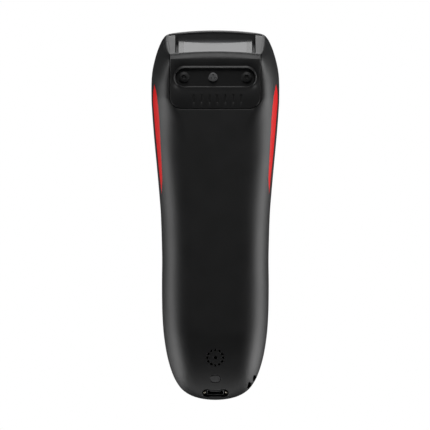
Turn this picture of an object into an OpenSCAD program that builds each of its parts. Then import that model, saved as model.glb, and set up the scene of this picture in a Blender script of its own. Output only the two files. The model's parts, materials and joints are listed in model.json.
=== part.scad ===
// Handheld cordless barcode scanner, lying on its flat underside.
// +Z is up (trigger side), the scan window points to -Y and the charging port to +Y.
// The origin is under the middle of the body, on the surface that it rests on.

/* [Body] */
// Thickness of the moulded housing walls
wall = 1.8; // [1.6:0.1:2.0]
// Number of columns across the belly flat, each side
belly_steps = 3; // [2:1:4]
// Number of points round each lower flank
flank_steps = 9; // [7:1:10]
// Number of points round each upper flank
crown_steps = 11; // [8:1:12]
// Gap between pieces that fit together
fit = 0.12; // [0.08:0.02:0.16]

/* [Nose] */
// Half width of the nose cover
cover_half = 19.5; // [19.4:0.1:19.6]
// Rear end of the nose cover plate
cover_rear = -45.8; // [-46:0.1:-45.6]
// Depth of the window pane behind the nose face
pane_depth = 2.64; // [2.4:0.02:2.8]
// Thickness of the window pane
pane_t = 1.5; // [1.2:0.1:1.5]

/* [Recess and screws] */
// Half length between the end centres of the screw recess
recess_half = 13.1; // [12.9:0.05:13.3]
// End radius of the screw recess
recess_r = 4.05; // [3.95:0.05:4.2]
// Depth of the screw recess
recess_d = 2.2; // [1.8:0.1:2.3]
// Head diameter of the two nose screws
nose_screw_head = 4.5; // [4.0:0.1:4.8]

/* [Trigger] */
// Length of the trigger key
trigger_len = 38; // [36:1:38]
// Width of the trigger key
trigger_w = 20; // [18:1:20]
// Height of the trigger key above the housing
trigger_proud = 0.9; // [0.6:0.1:1.2]
// Diameter of the trigger pivot pin
pin_d = 1.5; // [1.3:0.1:1.6]

/* [Battery] */
// Length of the battery cell
cell_len = 52; // [40:1:54]
// Width of the battery cell
cell_w = 30; // [24:1:30]
// Thickness of the battery cell
cell_t = 7.8; // [5:0.1:7.8]

/* [Hidden] */

// lengthwise stations of the body, each with the half width there
width_at = [[-80,21.2],[-79.2,22.2],[-77.5,23.6],[-75,24.9],[-72,25.9],[-69,26.6],[-66,27.1],
            [-63,27.4],[-59,27.6],[-55,27.65],[-50,27.6],[-45,27.35],[-40,27],[-35,26.6],
            [-30,26.15],[-20,25.2],[-10,24.3],[0,23.55],[10,23.2],[20,23],[30,23.1],[40,23],
            [45,22.8],[50,22.45],[55,21.85],[60,21],[65,19.75],[70,17.95],[73,16.3],[75,14.8],
            [77,12.4],[78.5,9.4],[79.4,6.2],[80,0.001]];
// height of the top surface along the middle
top_at = [[-80,23],[-79.3,23.7],[-78,24.2],[-75,25],[-70,26],[-65,26.9],[-60,27.6],[-55,28],
          [-50,28.15],[-45,28.1],[-40,27.9],[-30,27.2],[-20,26.4],[-10,25.6],[0,25],[10,24.6],
          [20,24.4],[35,24.3],[52,24.3]];
// half width of the flat part of the belly
flat_at = [[-80,19.2],[-60,19.8],[-52,19.7],[-47,17.4],[-40,13.4],[-32,10.8],[-20,9.6],[0,9],[80,9]];
// how full the flanks are: smaller is fuller
full_at = [[-80,1.2],[-60,1.2],[-45,1.1],[-35,0.97],[-22,0.87],[80,0.87]];
// how square the upper shoulders are
square_at = [[-80,12],[-76,6],[-70,4.2],[-60,3.4],[-30,2.8],[80,2.5]];

tail_z = 17;          // height of the tail tip
seam_z = 15;          // height of the line where the two housings meet
lip_h = 2.34;         // rise of the rounded lip under the window
rim_z = 23;           // height of the front rim
nose_lean = 24.54;    // lean of the window face from the vertical, in degrees
tan_lean = tan(nose_lean);

function seg(T, x, i = 0) = (i >= len(T) - 2 || x < T[i + 1][0]) ? i : seg(T, x, i + 1);
function chord(T, i) = (T[i + 1][1] - T[i][1]) / (T[i + 1][0] - T[i][0]);
function slope(T, i) = i == 0 ? chord(T, 0) : i == len(T) - 1 ? chord(T, i - 1)
    : chord(T, i - 1) * chord(T, i) <= 0 ? 0
    : 2 * chord(T, i - 1) * chord(T, i) / (chord(T, i - 1) + chord(T, i));
function curve(T, x) = let (i = seg(T, x), h = T[i + 1][0] - T[i][0], t = (x - T[i][0]) / h)
    (2*t*t*t - 3*t*t + 1) * T[i][1] + (t*t*t - 2*t*t + t) * h * slope(T, i)
    + (3*t*t - 2*t*t*t) * T[i + 1][1] + (t*t*t - t*t) * h * slope(T, i + 1);
function ease(t) = let (u = max(0, min(1, t))) u * u * (3 - 2 * u);
width_sq = [for (p = width_at) [p[0], p[1] * p[1]]];

function half_w(s) = s > 55 ? sqrt(max(0, curve(width_sq, s))) : curve(width_at, max(-80, s));
function belly_z(s) = s < -77.5 ? lip_h * (1 - sqrt(max(0, 1 - pow(min(1, (-77.5 - s) / 2.5), 2))))
    : s < 50 ? 0
    : tail_z * (1 - pow(max(0, 1 - pow(min(1, (s - 50) / 30), 1.7)), 1 / 1.7));
function top_z(s) = s < 52 ? curve(top_at, max(-80, s))
    : tail_z + (24.3 - tail_z) * sqrt(max(0, 1 - pow((s - 52) / 28, 2)));
function wide_z(s) = seam_z + 2 * pow(max(0, (s - 45) / 35), 2);
function flat_w(s) = s > 40 ? min(curve(flat_at, s), 0.42 * half_w(s)) : curve(flat_at, max(-80, s));
function full(s) = curve(full_at, max(-80, s));
function lean(s) = tan_lean * (1 - ease((s + 78) / 33));
function bow(s) = (1 - ease((s + 77) / 22)) / 296;

// half outline of one section, from the middle of the belly to the middle of the top
function half_outline(w, f, zb, zw, zt, nu, q = 0.87) = concat(
    [for (i = [0 : belly_steps - 1]) [f * i / belly_steps, zb]],
    [for (i = [0 : flank_steps - 1]) let (a = 90 * i / (flank_steps - 1))
        [f + (w - f) * pow(sin(a), q), zw - (zw - zb) * pow(max(0, cos(a)), q)]],
    [for (i = [1 : crown_steps]) let (a = 90 * i / crown_steps)
        [i == crown_steps ? 0 : w * pow(cos(a), 2 / nu), zw + (zt - zw) * pow(sin(a), 2 / nu)]]);
function outline(h) = concat(h, [for (i = [len(h) - 2 : -1 : 1]) [-h[i][0], h[i][1]]]);
function place(s, p) = [p[0], s + bow(s) * p[0] * p[0] + lean(s) * (rim_z - p[1]), p[1]];
function outer_ring(s, d) = let (h = half_outline(half_w(s) - d, flat_w(s) - d * 0.3,
        belly_z(s) + d, wide_z(s), top_z(s) - d, curve(square_at, max(-80, s)), full(s)))
    [for (p = outline(h)) place(s, p)];
// sections of the hollow inside: the tail is a scaled copy, so the wall closes round it
function inner_ring(s, t) = let (e = s > 50 ? 50 + (s - 50) * 30 / (30 - t) : s, k = 1 - t / 22.45,
        w = s > 50 ? half_w(e) * k : half_w(s) - t * (0.55 + 0.45 * ease((s + 80) / 9)),
        zb = s > 50 ? tail_z - (tail_z - belly_z(e)) * (1 - t / tail_z) : t,
        zt = s > 50 ? tail_z + (top_z(e) - tail_z) * (1 - t / 7.3) : top_z(s) - t,
        f = s > 50 ? flat_w(e) * k : flat_w(s) - 0.2)
    [for (p = outline(half_outline(w, f, zb, wide_z(e), zt, curve(square_at, max(-80, e)), full(e))))
        place(s, p)];

// closed skin over a list of rings with the same number of points
module skin(rings) {
    n = len(rings[0]); m = len(rings);
    pts = [for (r = rings) each r];
    polyhedron(points = pts, faces = concat(
        [for (i = [0 : m - 2]) for (j = [0 : n - 1]) [i*n + j, i*n + (j + 1) % n, (i + 1)*n + j]],
        [for (i = [0 : m - 2]) for (j = [0 : n - 1]) [i*n + (j + 1) % n, (i + 1)*n + (j + 1) % n, (i + 1)*n + j]],
        [[for (j = [n - 1 : -1 : 0]) j]],
        [[for (j = [0 : n - 1]) (m - 1)*n + j]]));
}
outer_s = [-80, -79.7, -79.2, -78.5, -77.5, -76, -74, -71, -67, -62, -56, -50, -44, -38, -32, -24,
           -14, -4, 8, 20, 32, 42, 50, 55, 60, 64, 68, 71, 73.5, 75.5, 77, 78.2, 79, 79.5, 79.85, 79.98];
inner_s = [-83, -80, -78.5, -77, -74, -70, -65, -59, -50, -42, -34, -24, -12, 2, 20, 38, 50, 57,
           63, 68, 72, 75, 77, 78];
function shrunk(s, q) = let (h = half_outline(half_w(s), flat_w(s), belly_z(s), wide_z(s), top_z(s),
        curve(square_at, s), full(s))) [for (p = outline(h)) place(s, [p[0] * q, 12 + (p[1] - 12) * q])];
module outer_body(d = 0) {
    if (d == 0) skin(concat([for (q = [0.05, 0.4, 0.75]) shrunk(-80, q)], [for (s = outer_s) outer_ring(s, 0)]));
    else skin([for (s = concat([-84], inner_s)) inner_ring(s, d)]);
}
module hollow() { skin([for (s = inner_s) inner_ring(s, wall)]); }

// everything above the line where the housings meet; g lifts or lowers it by half the gap
module above_seam(g) {
    translate([-40, 0, 0]) rotate([90, 0, 90]) linear_extrude(80)
        polygon(concat([[-100, 60], [-100, seam_z + g]],
            [for (s = [45, 52, 58, 64, 70, 75, 80, 90]) [s, wide_z(min(80, s)) + g]], [[100, 60]]));
}

// frame of the window face: origin on the corner line under the lip, local Z up the face,
// local Y into the body
module on_nose() { translate([0, -69.5, 0]) rotate([nose_lean, 0, 0]) children(); }
// frame of the port: local Z into the body
module on_port() { translate([0, 77.05, 11.3]) rotate([30, 0, 0]) children(); }
// frame of the buzzer: local Z into the body
module on_buzzer() { translate([0, 61.5, 2.04]) rotate([17.6, 0, 0]) children(); }
// frame of the trigger: local Z is up from the housing surface
module on_trigger() { translate([0, -32, 27.3]) rotate([-3.4, 0, 0]) children(); }

// flat shape with round ends along X
module pill(len, r) { translate([-len / 2, -r]) square([len, 2 * r]);
    for (k = [-1, 1]) translate([k * len / 2, 0]) circle(r, $fn = 48); }
module pill_y(len, r) { rotate(90) pill(len, r); }

// plan of the nose cover, grown by g
module cover_plan(g) {
    r = 4.8;
    translate([-cover_half - g, -90]) square([2 * (cover_half + g), 90 + cover_rear - r]);
    translate([-cover_half - g + r, -80]) square([2 * (cover_half + g - r), 80 + cover_rear + g]);
    for (k = [-1, 1]) translate([k * (cover_half - r), cover_rear - r]) circle(r + g, $fn = 64);
}
// outline of a side insert seen from the side: x of its lower edge, as heights on the flank
function on_flank(s, x) = let (w = half_w(s), f = flat_w(s), u = min(1, (x - f) / (w - f)), n = 2 / full(s))
    seam_z - seam_z * pow(max(0, 1 - pow(u, n)), 1 / n);
leaf_high = [[-14, 9.1], [-20, 9.3], [-30, 9.8], [-40, 10.5], [-47, 10.7], [-51, 10.3], [-54, 9.6]];
leaf_low = [[-53, 25.6], [-50.5, 25.1], [-48, 24.8], [-42, 24.3], [-35, 23.9], [-27, 23.5], [-17, 23]];
module leaf(g) {
    polygon(concat([[-56.3 - 2 * g, 8.2]],
        [for (p = leaf_low) [p[0], on_flank(p[0], p[1]) - g]], [[-9 + 2 * g, 8.6]],
        [for (p = leaf_high) [p[0], p[1] + g]]));
}
module insert_zone(side, g) {
    rotate([90, 0, 90]) translate([0, 0, side > 0 ? 12 : -40]) linear_extrude(28) leaf(g);
}
insert_t = 1.2;

module speaker_holes() {
    on_buzzer() {
        translate([0, 0, -3]) cylinder(d = 1.5, h = 8, $fn = 20);
        for (i = [0 : 11]) rotate(i * 30) translate([3.45, 0, -3]) cylinder(d = 1.1, h = 8, $fn = 16);
    }
}
// outline of the tail recess: two round ends joined by a narrower waist
module port_shape(g) {
    for (k = [-1, 1]) translate([k * 3.4, 0]) circle(2.4 + g, $fn = 48);
    translate([-3.4, -2.05 - g]) square([6.8, 4.1 + 2 * g]);
}
module lanyard_slots() {
    translate([16.85, 70.5, 6]) rotate([0, 0, 8]) cube([1.15, 2.5, 19.4], center = true);
    translate([14.6, 73.6, 6]) rotate([0, 0, 14]) cube([1.35, 2.7, 19.4], center = true);
    translate([15.7, 72.0, 14.5]) rotate([0, 0, 36]) cube([1.3, 5, 2.4], center = true);
}

module lower_housing() {
    color("#1c1c1e") resize([0, 0, 0]) difference() {
        union() {
            difference() {
                outer_body();
                hollow();
            }
            intersection() {
                outer_body(0.9);
                union() {
                    translate([-25, -64.5, 3.95]) cube([50, 20.4, 1.35]);
                    translate([-25, -45.6, 0.9]) cube([50, 1.5, 4]);
                    translate([0, 70.6, 0]) cylinder(d = 5.4, h = 11, $fn = 40);
                    on_port() translate([-7.4, -3.6, -2]) cube([14.8, 7.2, 6]);
                    translate([13.2, 68.2, 6]) cube([5.4, 7.4, 8]);
                }
            }
        }
        above_seam(-fit / 2);
        translate([0, 0, -1]) linear_extrude(15) cover_plan(fit);
        translate([-cover_half - fit, -90, 13]) cube([2 * (cover_half + fit), 15.5, 12]);
        speaker_holes();
        // openings for the nose screws and the security screw in the shelf
        for (k = [-1, 1]) translate([k * 13.5, -59.4, 3]) cylinder(d = 2.4, h = 4, $fn = 32);
        translate([-1, -59.3, 3]) cylinder(d = 2.0, h = 4, $fn = 32);
        for (k = [-1, 1]) translate([k * 5, -49, 3.4]) cylinder(d = 1.8, h = 4, $fn = 24);
        // tail screw: plug well, head seat and shank hole
        translate([0, 70.6, -1]) linear_extrude(10.3) pill(1.5, 1.65);
        translate([0, 70.6, 8]) cylinder(d = 2.2, h = 6, $fn = 32);
        on_port() {
            translate([0, 0, -6]) linear_extrude(8.2) port_shape(0);
            translate([-3.85, -1.4, 1]) cube([7.7, 2.8, 6]);
            for (k = [-1, 1]) translate([k * 4.72, 0, 1]) cylinder(d = 1.3, h = 6, $fn = 24);
        }
        lanyard_slots();
        translate([0, 70.6, 11.05]) cylinder(d = 3.9, h = 20, $fn = 40);
        for (k = [-1, 1]) difference() {
            insert_zone(k, fit);
            skin([for (s = inner_s) inner_ring(s, insert_t + fit)]);
        }
    }
}

module upper_housing() {
    color("#232325") resize([0, 0, 0]) difference() {
        union() {
            difference() {
                outer_body();
                hollow();
            }
            intersection() {
                outer_body(0.9);
                union() {
                    for (k = [-1, 1]) translate([k * 13.5, -59.4, 5.45]) cylinder(d = 5, h = 30, $fn = 40);
                    translate([0, 70.6, 11.15]) cylinder(d = 3.6, h = 20, $fn = 40);
                    for (k = [-1, 1]) {
                        translate([k * 15.5, -44, 16.25]) cylinder(d = 4.2, h = 20, $fn = 32);
                        translate([k * 14, 54, 16.25]) cylinder(d = 4.2, h = 20, $fn = 32);
                    }
                    translate([0, -3, 18.5]) linear_extrude(20) pill(5, 2);
                }
            }
        }
        difference() {
            translate([-50, -120, -20]) cube([100, 240, 50]);
            above_seam(fit / 2);
            for (k = [-1, 1]) translate([k * 13.5, -59.4, 5.4]) cylinder(d = 5.2, h = 30, $fn = 40);
            translate([0, 70.6, 11.1]) cylinder(d = 3.8, h = 20, $fn = 40);
        }
        for (k = [-1, 1]) {
            translate([k * 13.5, -59.4, 4]) cylinder(d = 2.14, h = 9, $fn = 32);
            translate([k * 15.5, -44, 15]) cylinder(d = 1.7, h = 6, $fn = 24);
            translate([k * 14, 54, 15]) cylinder(d = 1.7, h = 6, $fn = 24);
        }
        translate([0, 70.6, 10]) cylinder(d = 1.9, h = 5.5, $fn = 32);
        // room for the nose cover between the flanks, under the front rim
        on_nose() translate([-cover_half - fit, -4, 10]) cube([2 * (cover_half + fit), 10.6, 13.3 + fit]);
        // trigger opening and the wider room for its flange below the wall
        on_trigger() {
            translate([0, 0, -8]) linear_extrude(14) pill_y(trigger_len - trigger_w, trigger_w / 2 + 0.35);
            translate([0, 0, -9.9]) linear_extrude(8) pill_y(trigger_len - trigger_w, trigger_w / 2 + 1.6);
        }
        // status light window
        translate([0, -3, 15]) linear_extrude(20) pill(4, 1.3);
    }
}

module nose_cover() {
    // side profile of the cover: flat plate, rounded lip, leaning front
    r = 4;
    cy = -66.986;
    color("#303032") difference() {
        union() {
            difference() {
                intersection() {
                    rotate([90, 0, 90]) translate([0, 0, -cover_half]) linear_extrude(2 * cover_half) difference() {
                        polygon([[cover_rear, 0], [cy, 0], [cy, r], [-70.6249, 2.3385],
                            [-79.17, 21.05], [-72.9, 23.9], [-69.2, 14.5], [-64.2, 3.85], [-64.2, 1.8], [cover_rear, 1.8]]);
                    }
                    translate([0, 0, -1]) linear_extrude(30) cover_plan(0);
                }
                // hollow behind the front frame
                on_nose() translate([-30, 5.2, 2.7]) cube([60, 20, 40]);
            }
            intersection() {
                rotate([90, 0, 90]) translate([cy, r, -cover_half]) cylinder(r = r, h = 2 * cover_half, $fn = 96);
                translate([-30, -71.5, 0]) cube([60, 4.6, 3.2]);
            }
            // cup of the screw recess
            translate([0, -59.15, 0]) linear_extrude(3.85) pill(2 * recess_half, recess_r + 1.1);
        }
        translate([0, -59.15, -1]) linear_extrude(1 + recess_d) pill(2 * recess_half, recess_r);
        for (k = [-1, 1]) translate([k * 13.5, -59.4, 0]) cylinder(d = 2.4, h = 8, $fn = 40);
        translate([-1, -59.3, 0]) cylinder(d = 2.2, h = 8, $fn = 40);
        // window opening
        on_nose() translate([-17.3, -3, 2.6]) cube([34.6, 12, 40]);
        // bow of the front face
        on_nose() difference() {
            translate([-30, -5, -6]) cube([60, 8, 40]);
            translate([0, 163, -8]) cylinder(r = 163, h = 60, $fn = 200);
        }
        // row of moulded marks on the plate
        for (i = [-3 : 3]) translate([i * 3.4 + 0.9, -50.15, -1]) linear_extrude(1.25) pill_y(2.6, 0.45);
    }
}

module scan_window() {
    color("#9a9a9c") on_nose() translate([-16, pane_depth, 3.0]) cube([32, pane_t, 19.4]);
}
module window_frame() {
    y0 = pane_depth + pane_t + 0.06;
    color("#2a2a2b") on_nose() difference() {
        union() {
            translate([-17.1, y0, 2.8]) cube([34.2, 5.3 - y0, 20.1]);
            translate([-18.6, 5.28, 2.8]) cube([37.2, 1.2, 20.1]);
        }
        translate([-13.6, 0, 5.2]) cube([27.2, 12, 14.8]);
    }
}

module side_insert(side) {
    color("#d9302c") resize([0, 0, 0]) intersection() {
        difference() {
            outer_body();
            skin([for (s = inner_s) inner_ring(s, insert_t)]);
        }
        insert_zone(side, 0);
    }
}
module side_insert_left() { side_insert(-1); }
module side_insert_right() { side_insert(1); }

pin_y = -50;
pin_z = 22.5;
module trigger() {
    color("#2b2b2d") difference() {
        union() {
            on_trigger() intersection() {
                translate([0, 0, -3.5]) linear_extrude(8) pill_y(trigger_len - trigger_w, trigger_w / 2);
                translate([0, 40, trigger_proud - 90]) rotate([90, 0, 0]) cylinder(r = 90, h = 80, $fn = 240);
            }
            on_trigger() translate([0, 0, -3.5]) linear_extrude(1.2) pill_y(trigger_len - trigger_w, trigger_w / 2 + 1.1);
            for (k = [-1, 1]) translate([k * 6.9 - 0.9, pin_y - 1.9, pin_z]) cube([1.8, 3.8, 3.4]);
            for (k = [-1, 1]) translate([k * 6.9 - 0.9, pin_y, pin_z]) rotate([0, 90, 0]) cylinder(d = 3.8, h = 1.8, $fn = 48);
            translate([0, -38, 21.03]) cylinder(d = 3, h = 4, $fn = 40);
        }
        translate([-12, pin_y, pin_z]) rotate([0, 90, 0]) cylinder(d = pin_d + 0.08, h = 24, $fn = 48);
    }
}
module trigger_pin() {
    color("#b9bcc0") translate([-9.7, pin_y, pin_z]) rotate([0, 90, 0]) cylinder(d = pin_d, h = 19.4, $fn = 48);
}
module trigger_bracket() {
    color("#3a3a3c") difference() {
        union() {
            translate([-9.8, -52.6, 16.25]) cube([19.6, 5.6, 1.1]);
            for (k = [-1, 1]) translate([k * 9 - 0.8, -52, 16.25]) cube([1.6, 4, 7.6]);
        }
        translate([-12, pin_y, pin_z]) rotate([0, 90, 0]) cylinder(d = pin_d + 0.03, h = 24, $fn = 48);
        for (k = [-1, 1]) translate([k * 5, pin_y, 15]) cylinder(d = 1.7, h = 4, $fn = 24);
    }
}
sw = [0, -38, 16.25];
module switch_body() {
    color("#202022") translate(sw) difference() {
        translate([-3, -3, 0]) cube([6, 6, 3.4]);
        translate([0, 0, 0.8]) cylinder(d = 4.6, h = 1.7, $fn = 48);
        translate([0, 0, 2]) cylinder(d = 3.3, h = 3, $fn = 48);
    }
}
module switch_plunger() {
    color("#6b6b70") translate(sw) {
        translate([0, 0, 2.02]) cylinder(d = 3.2, h = 2.7, $fn = 48);
    }
}
module switch_dome() {
    color("#c8c8cc") translate(sw) translate([0, 0, 0.82]) cylinder(d = 4.2, h = 1.18, $fn = 48);
}
module status_lens() {
    color("#dfe6ea") translate([0, -3, 0]) intersection() {
        union() {
            translate([0, 0, 18.2]) linear_extrude(10) pill(4, 1.2);
        }
        translate([0, 0, 25.25 - 120]) sphere(r = 120, $fn = 200);
    }
}
module status_light() {
    color("#f4f4e8") translate([-1.6, -3.8, 16.25]) cube([3.2, 1.6, 1.1]);
}
module main_board() {
    color("#1f6b3a") difference() {
        union() {
            translate([-18.6, -52.8, 15.1]) cube([37.2, 98, 1.1]);
            translate([-16.5, 45, 15.1]) cube([33, 17, 1.1]);
        }
        for (k = [-1, 1]) {
            translate([k * 15.5, -44, 14]) cylinder(d = 1.9, h = 4, $fn = 32);
            translate([k * 14, 54, 14]) cylinder(d = 1.9, h = 4, $fn = 32);
            translate([k * 5, pin_y, 14]) cylinder(d = 1.7, h = 4, $fn = 32);
        }
    }
}
module radio_module() {
    color("#b8bcbf") {
        difference() {
            translate([-7, 24, 16.22]) cube([14, 18, 2.2]);
            translate([-6.7, 24.3, 16]) cube([13.4, 17.4, 1.9]);
        }
    }
}
module processor() { color("#151517") translate([-5, 6, 16.22]) cube([10, 10, 1.4]); }
module one_screw(head_d, head_h, shank_d, len) {
    difference() {
        union() {
            cylinder(d = head_d, h = head_h, $fn = 48);
            translate([0, 0, head_h]) cylinder(d = shank_d, h = len, $fn = 32);
        }
        for (a = [0, 90]) rotate(a) translate([-head_d * 0.3, -head_d * 0.06, -0.1]) cube([head_d * 0.6, head_d * 0.12, head_h * 0.6]);
    }
}
module board_screws() {
    color("#c9ccd0") for (k = [-1, 1]) {
        translate([k * 15.5, -44, 14.05]) one_screw(3.2, 1, 1.6, 5);
        translate([k * 14, 54, 14.05]) one_screw(3.2, 1, 1.6, 5);
    }
}

module scan_engine() {
    color("#2f3133") on_nose() difference() {
        translate([-10.3, 8, 5.5]) cube([20.6, 11.6, 11]);
        translate([0, 7, 11]) rotate([-90, 0, 0]) cylinder(d = 7.3, h = 8, $fn = 64);
        translate([7.3, 7, 11]) rotate([-90, 0, 0]) cylinder(d = 3.3, h = 6, $fn = 40);
        translate([-9.3, 7, 7]) cube([4, 3, 8]);
    }
}
module engine_lens() {
    color("#10141c") on_nose() translate([0, 7.4, 11]) rotate([-90, 0, 0]) difference() {
        cylinder(d = 7.2, h = 7.4, $fn = 64);
        translate([0, 0, -15.2]) sphere(r = 16, $fn = 160);
    }
}
module aiming_light() {
    color("#7a1a1a") on_nose() translate([7.3, 7.6, 11]) rotate([-90, 0, 0]) cylinder(d = 3.2, h = 5, $fn = 40);
}
module illumination_lights() {
    color("#f2f2e6") on_nose() for (z = [7.6, 11.9]) translate([-8.6, 8.4, z]) cube([2.6, 1.5, 2.6]);
}
module engine_mount() {
    color("#4a4a4d") difference() {
        union() {
            rotate([90, 0, 90]) translate([0, 0, -8]) linear_extrude(16)
                polygon([[-64, 5.35], [-64, 8.1], [-53.75, 12.75], [-52.2, 12.75], [-52.2, 5.35]]);
            translate([-8, -52.4, 5.35]) cube([16, 6.6, 1.2]);
        }
        rotate([90, 0, 90]) translate([0, 0, -6.6]) linear_extrude(13.2)
            polygon([[-62.6, 4], [-62.6, 7.2], [-55.2, 10.6], [-53.6, 10.6], [-53.6, 4]]);
        for (k = [-1, 1]) translate([k * 5, -49, 4]) cylinder(d = 1.9, h = 4, $fn = 32);
    }
}
module engine_mount_screws() {
    color("#c9ccd0") for (k = [-1, 1]) translate([k * 5, -49, 7.6]) rotate([180, 0, 0]) one_screw(3, 1, 1.6, 2.4);
}
// flat ribbon swept along X from a side path
module ribbon(path, w, t) {
    n = len(path);
    function nrm(i) = let (a = path[max(0, i - 1)], b = path[min(n - 1, i + 1)], d = b - a, l = norm(d)) [-d[1] / l, d[0] / l];
    rotate([90, 0, 90]) translate([0, 0, -w / 2]) linear_extrude(w)
        polygon(concat([for (i = [0 : n - 1]) path[i] + nrm(i) * t / 2], [for (i = [n - 1 : -1 : 0]) path[i] - nrm(i) * t / 2]));
}
module engine_cable() {
    color("#c98a2b") ribbon([[-55.28, 16.75], [-54.7, 16.6], [-54.2, 15.9], [-53.9, 15], [-53.3, 14.3], [-52.4, 13.9], [-50.9, 13.85]], 9, 0.24);
}
module engine_connector() { color("#e8e4d8") translate([-6, -50.8, 13.1]) cube([12, 3.6, 1.95]); }

module battery_cell() {
    r = 2.2;
    color("#2c5aa0") translate([0, -22, 3.62]) {
        rotate([-90, 0, 0]) translate([0, -cell_t / 2, 0]) linear_extrude(cell_len) {
            translate([-cell_w / 2 + r, -cell_t / 2]) square([cell_w - 2 * r, cell_t]);
            translate([-cell_w / 2, -cell_t / 2 + r]) square([cell_w, cell_t - 2 * r]);
            for (a = [-1, 1]) for (b = [-1, 1]) translate([a * (cell_w / 2 - r), b * (cell_t / 2 - r)]) circle(r, $fn = 40);
        }
        translate([-cell_w / 2 + 3, cell_len, 2.2]) cube([cell_w - 6, 2.4, 3.2]);
    }
}
module battery_pad() { color("#6f7276") translate([-8, -19, 1.86]) cube([16, 44, 1.7]); }
// round wire along a path of points, in the plane x = const
function wire_ring(P, i, r) = let (a = P[max(0, i - 1)], b = P[min(len(P) - 1, i + 1)], d = (b - a) / norm(b - a), n = [0, -d[2], d[1]])
    [for (k = [0 : 7]) P[i] + r * (cos(k * 45) * [1, 0, 0] + sin(k * 45) * n)];
module wire(P, r) { skin([for (i = [0 : len(P) - 1]) wire_ring(P, i, r)]); }
module battery_leads() {
    for (k = [-1, 1]) color(k < 0 ? "#c22020" : "#161616")
        wire([[k * 1.4, 32.5, 7.4], [k * 1.4, 33.5, 7.5], [k * 1.4, 34.6, 8.3], [k * 1.4, 35, 9.6],
              [k * 1.4, 35.5, 11.2], [k * 1.4, 36.6, 12.3], [k * 1.4, 38, 12.6], [k * 1.4, 39.9, 12.6]], 0.6);
}
module battery_connector() { color("#efece2") translate([-4, 40, 10.9]) cube([8, 5.5, 4.12]); }

module tail_board() {
    color("#1f6b3a") on_port() difference() {
        translate([-7, 1.4, 4.15]) cube([14, 0.8, 3.4]);
        for (k = [-1, 1]) translate([k * 4.72, 2, 6.6]) rotate([90, 0, 0]) cylinder(d = 0.8, h = 3, center = true, $fn = 20);
    }
}
module tail_cable() {
    color("#c98a2b") translate([4.6, 0, 0]) ribbon([[74.35, 18.33], [73.6, 18.5], [72, 18.3], [69, 17.5], [65.5, 16.8], [63, 16.45], [61.8, 16.35], [60, 16.35]], 4.8, 0.24);
}
module charging_port() {
    color("#b9bcc0") on_port() {
        difference() {
            translate([-3.75, -1.3, 0.9]) cube([7.5, 2.6, 5.4]);
            translate([-3.43, -0.95, 0.6]) cube([6.86, 1.9, 5]);
        }
        translate([-2.4, -0.35, 1.7]) cube([4.8, 0.7, 4.3]);
    }
}
module charging_contacts() {
    color("#d9b45a") on_port() for (k = [-1, 1]) translate([k * 4.72, 0, 0.6]) cylinder(d = 1.1, h = 6.1, $fn = 32);
}
module buzzer() {
    color("#141416") on_buzzer() difference() {
        translate([0, 0, 2.95]) cylinder(d = 9.6, h = 4.2, $fn = 64);
        translate([0, 0, 2]) cylinder(d = 1.6, h = 2, $fn = 24);
    }
}
module buzzer_gasket() {
    color("#5c5f63") on_buzzer() difference() {
        translate([0, 0, 2.45]) cylinder(d = 9.4, h = 0.45, $fn = 64);
        translate([0, 0, 2]) cylinder(d = 8, h = 2, $fn = 64);
    }
}
module nose_screws() {
    color("#1a1a1c") for (k = [-1, 1]) translate([k * 13.5, -59.4, 0.6]) one_screw(nose_screw_head, 1.58, 2, 9.5);
}
module security_screw() {
    color("#8d9094") translate([-1, -59.3, 0.9]) difference() {
        union() {
            cylinder(d = 3.9, h = 1.28, $fn = 48);
            translate([0, 0, 1.2]) cylinder(d = 1.8, h = 3.2, $fn = 32);
        }
        for (i = [0 : 2]) rotate(i * 120 - 90) translate([0.95, 0, -0.1]) cylinder(d = 0.6, h = 0.8, $fn = 20);
    }
}
module tail_screw() {
    color("#c9ccd0") translate([0, 70.6, 8.05]) one_screw(3.1, 1.2, 1.8, 5.5);
}
module screw_plug() {
    color("#2e2e30") intersection() {
        translate([0, 70.6, 4]) linear_extrude(3.9) pill(1.5, 1.6);
        translate([0, 70.6, 6.15]) rotate([30.5, 0, 0]) translate([-10, -10, 0.1]) cube([20, 20, 10]);
    }
}

lower_housing();
upper_housing();
nose_cover();
scan_window();
window_frame();
side_insert_left();
side_insert_right();
trigger();
trigger_pin();
trigger_bracket();
switch_body();
switch_plunger();
switch_dome();
status_lens();
status_light();
main_board();
radio_module();
processor();
board_screws();
scan_engine();
engine_lens();
aiming_light();
illumination_lights();
engine_mount();
engine_mount_screws();
engine_cable();
engine_connector();
battery_cell();
battery_pad();
battery_leads();
battery_connector();
tail_board();
tail_cable();
charging_port();
charging_contacts();
buzzer();
buzzer_gasket();
nose_screws();
security_screw();
tail_screw();
screw_plug();
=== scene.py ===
import json
import math

import bmesh
import bpy
import numpy as np
from mathutils import Matrix, Vector

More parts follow.
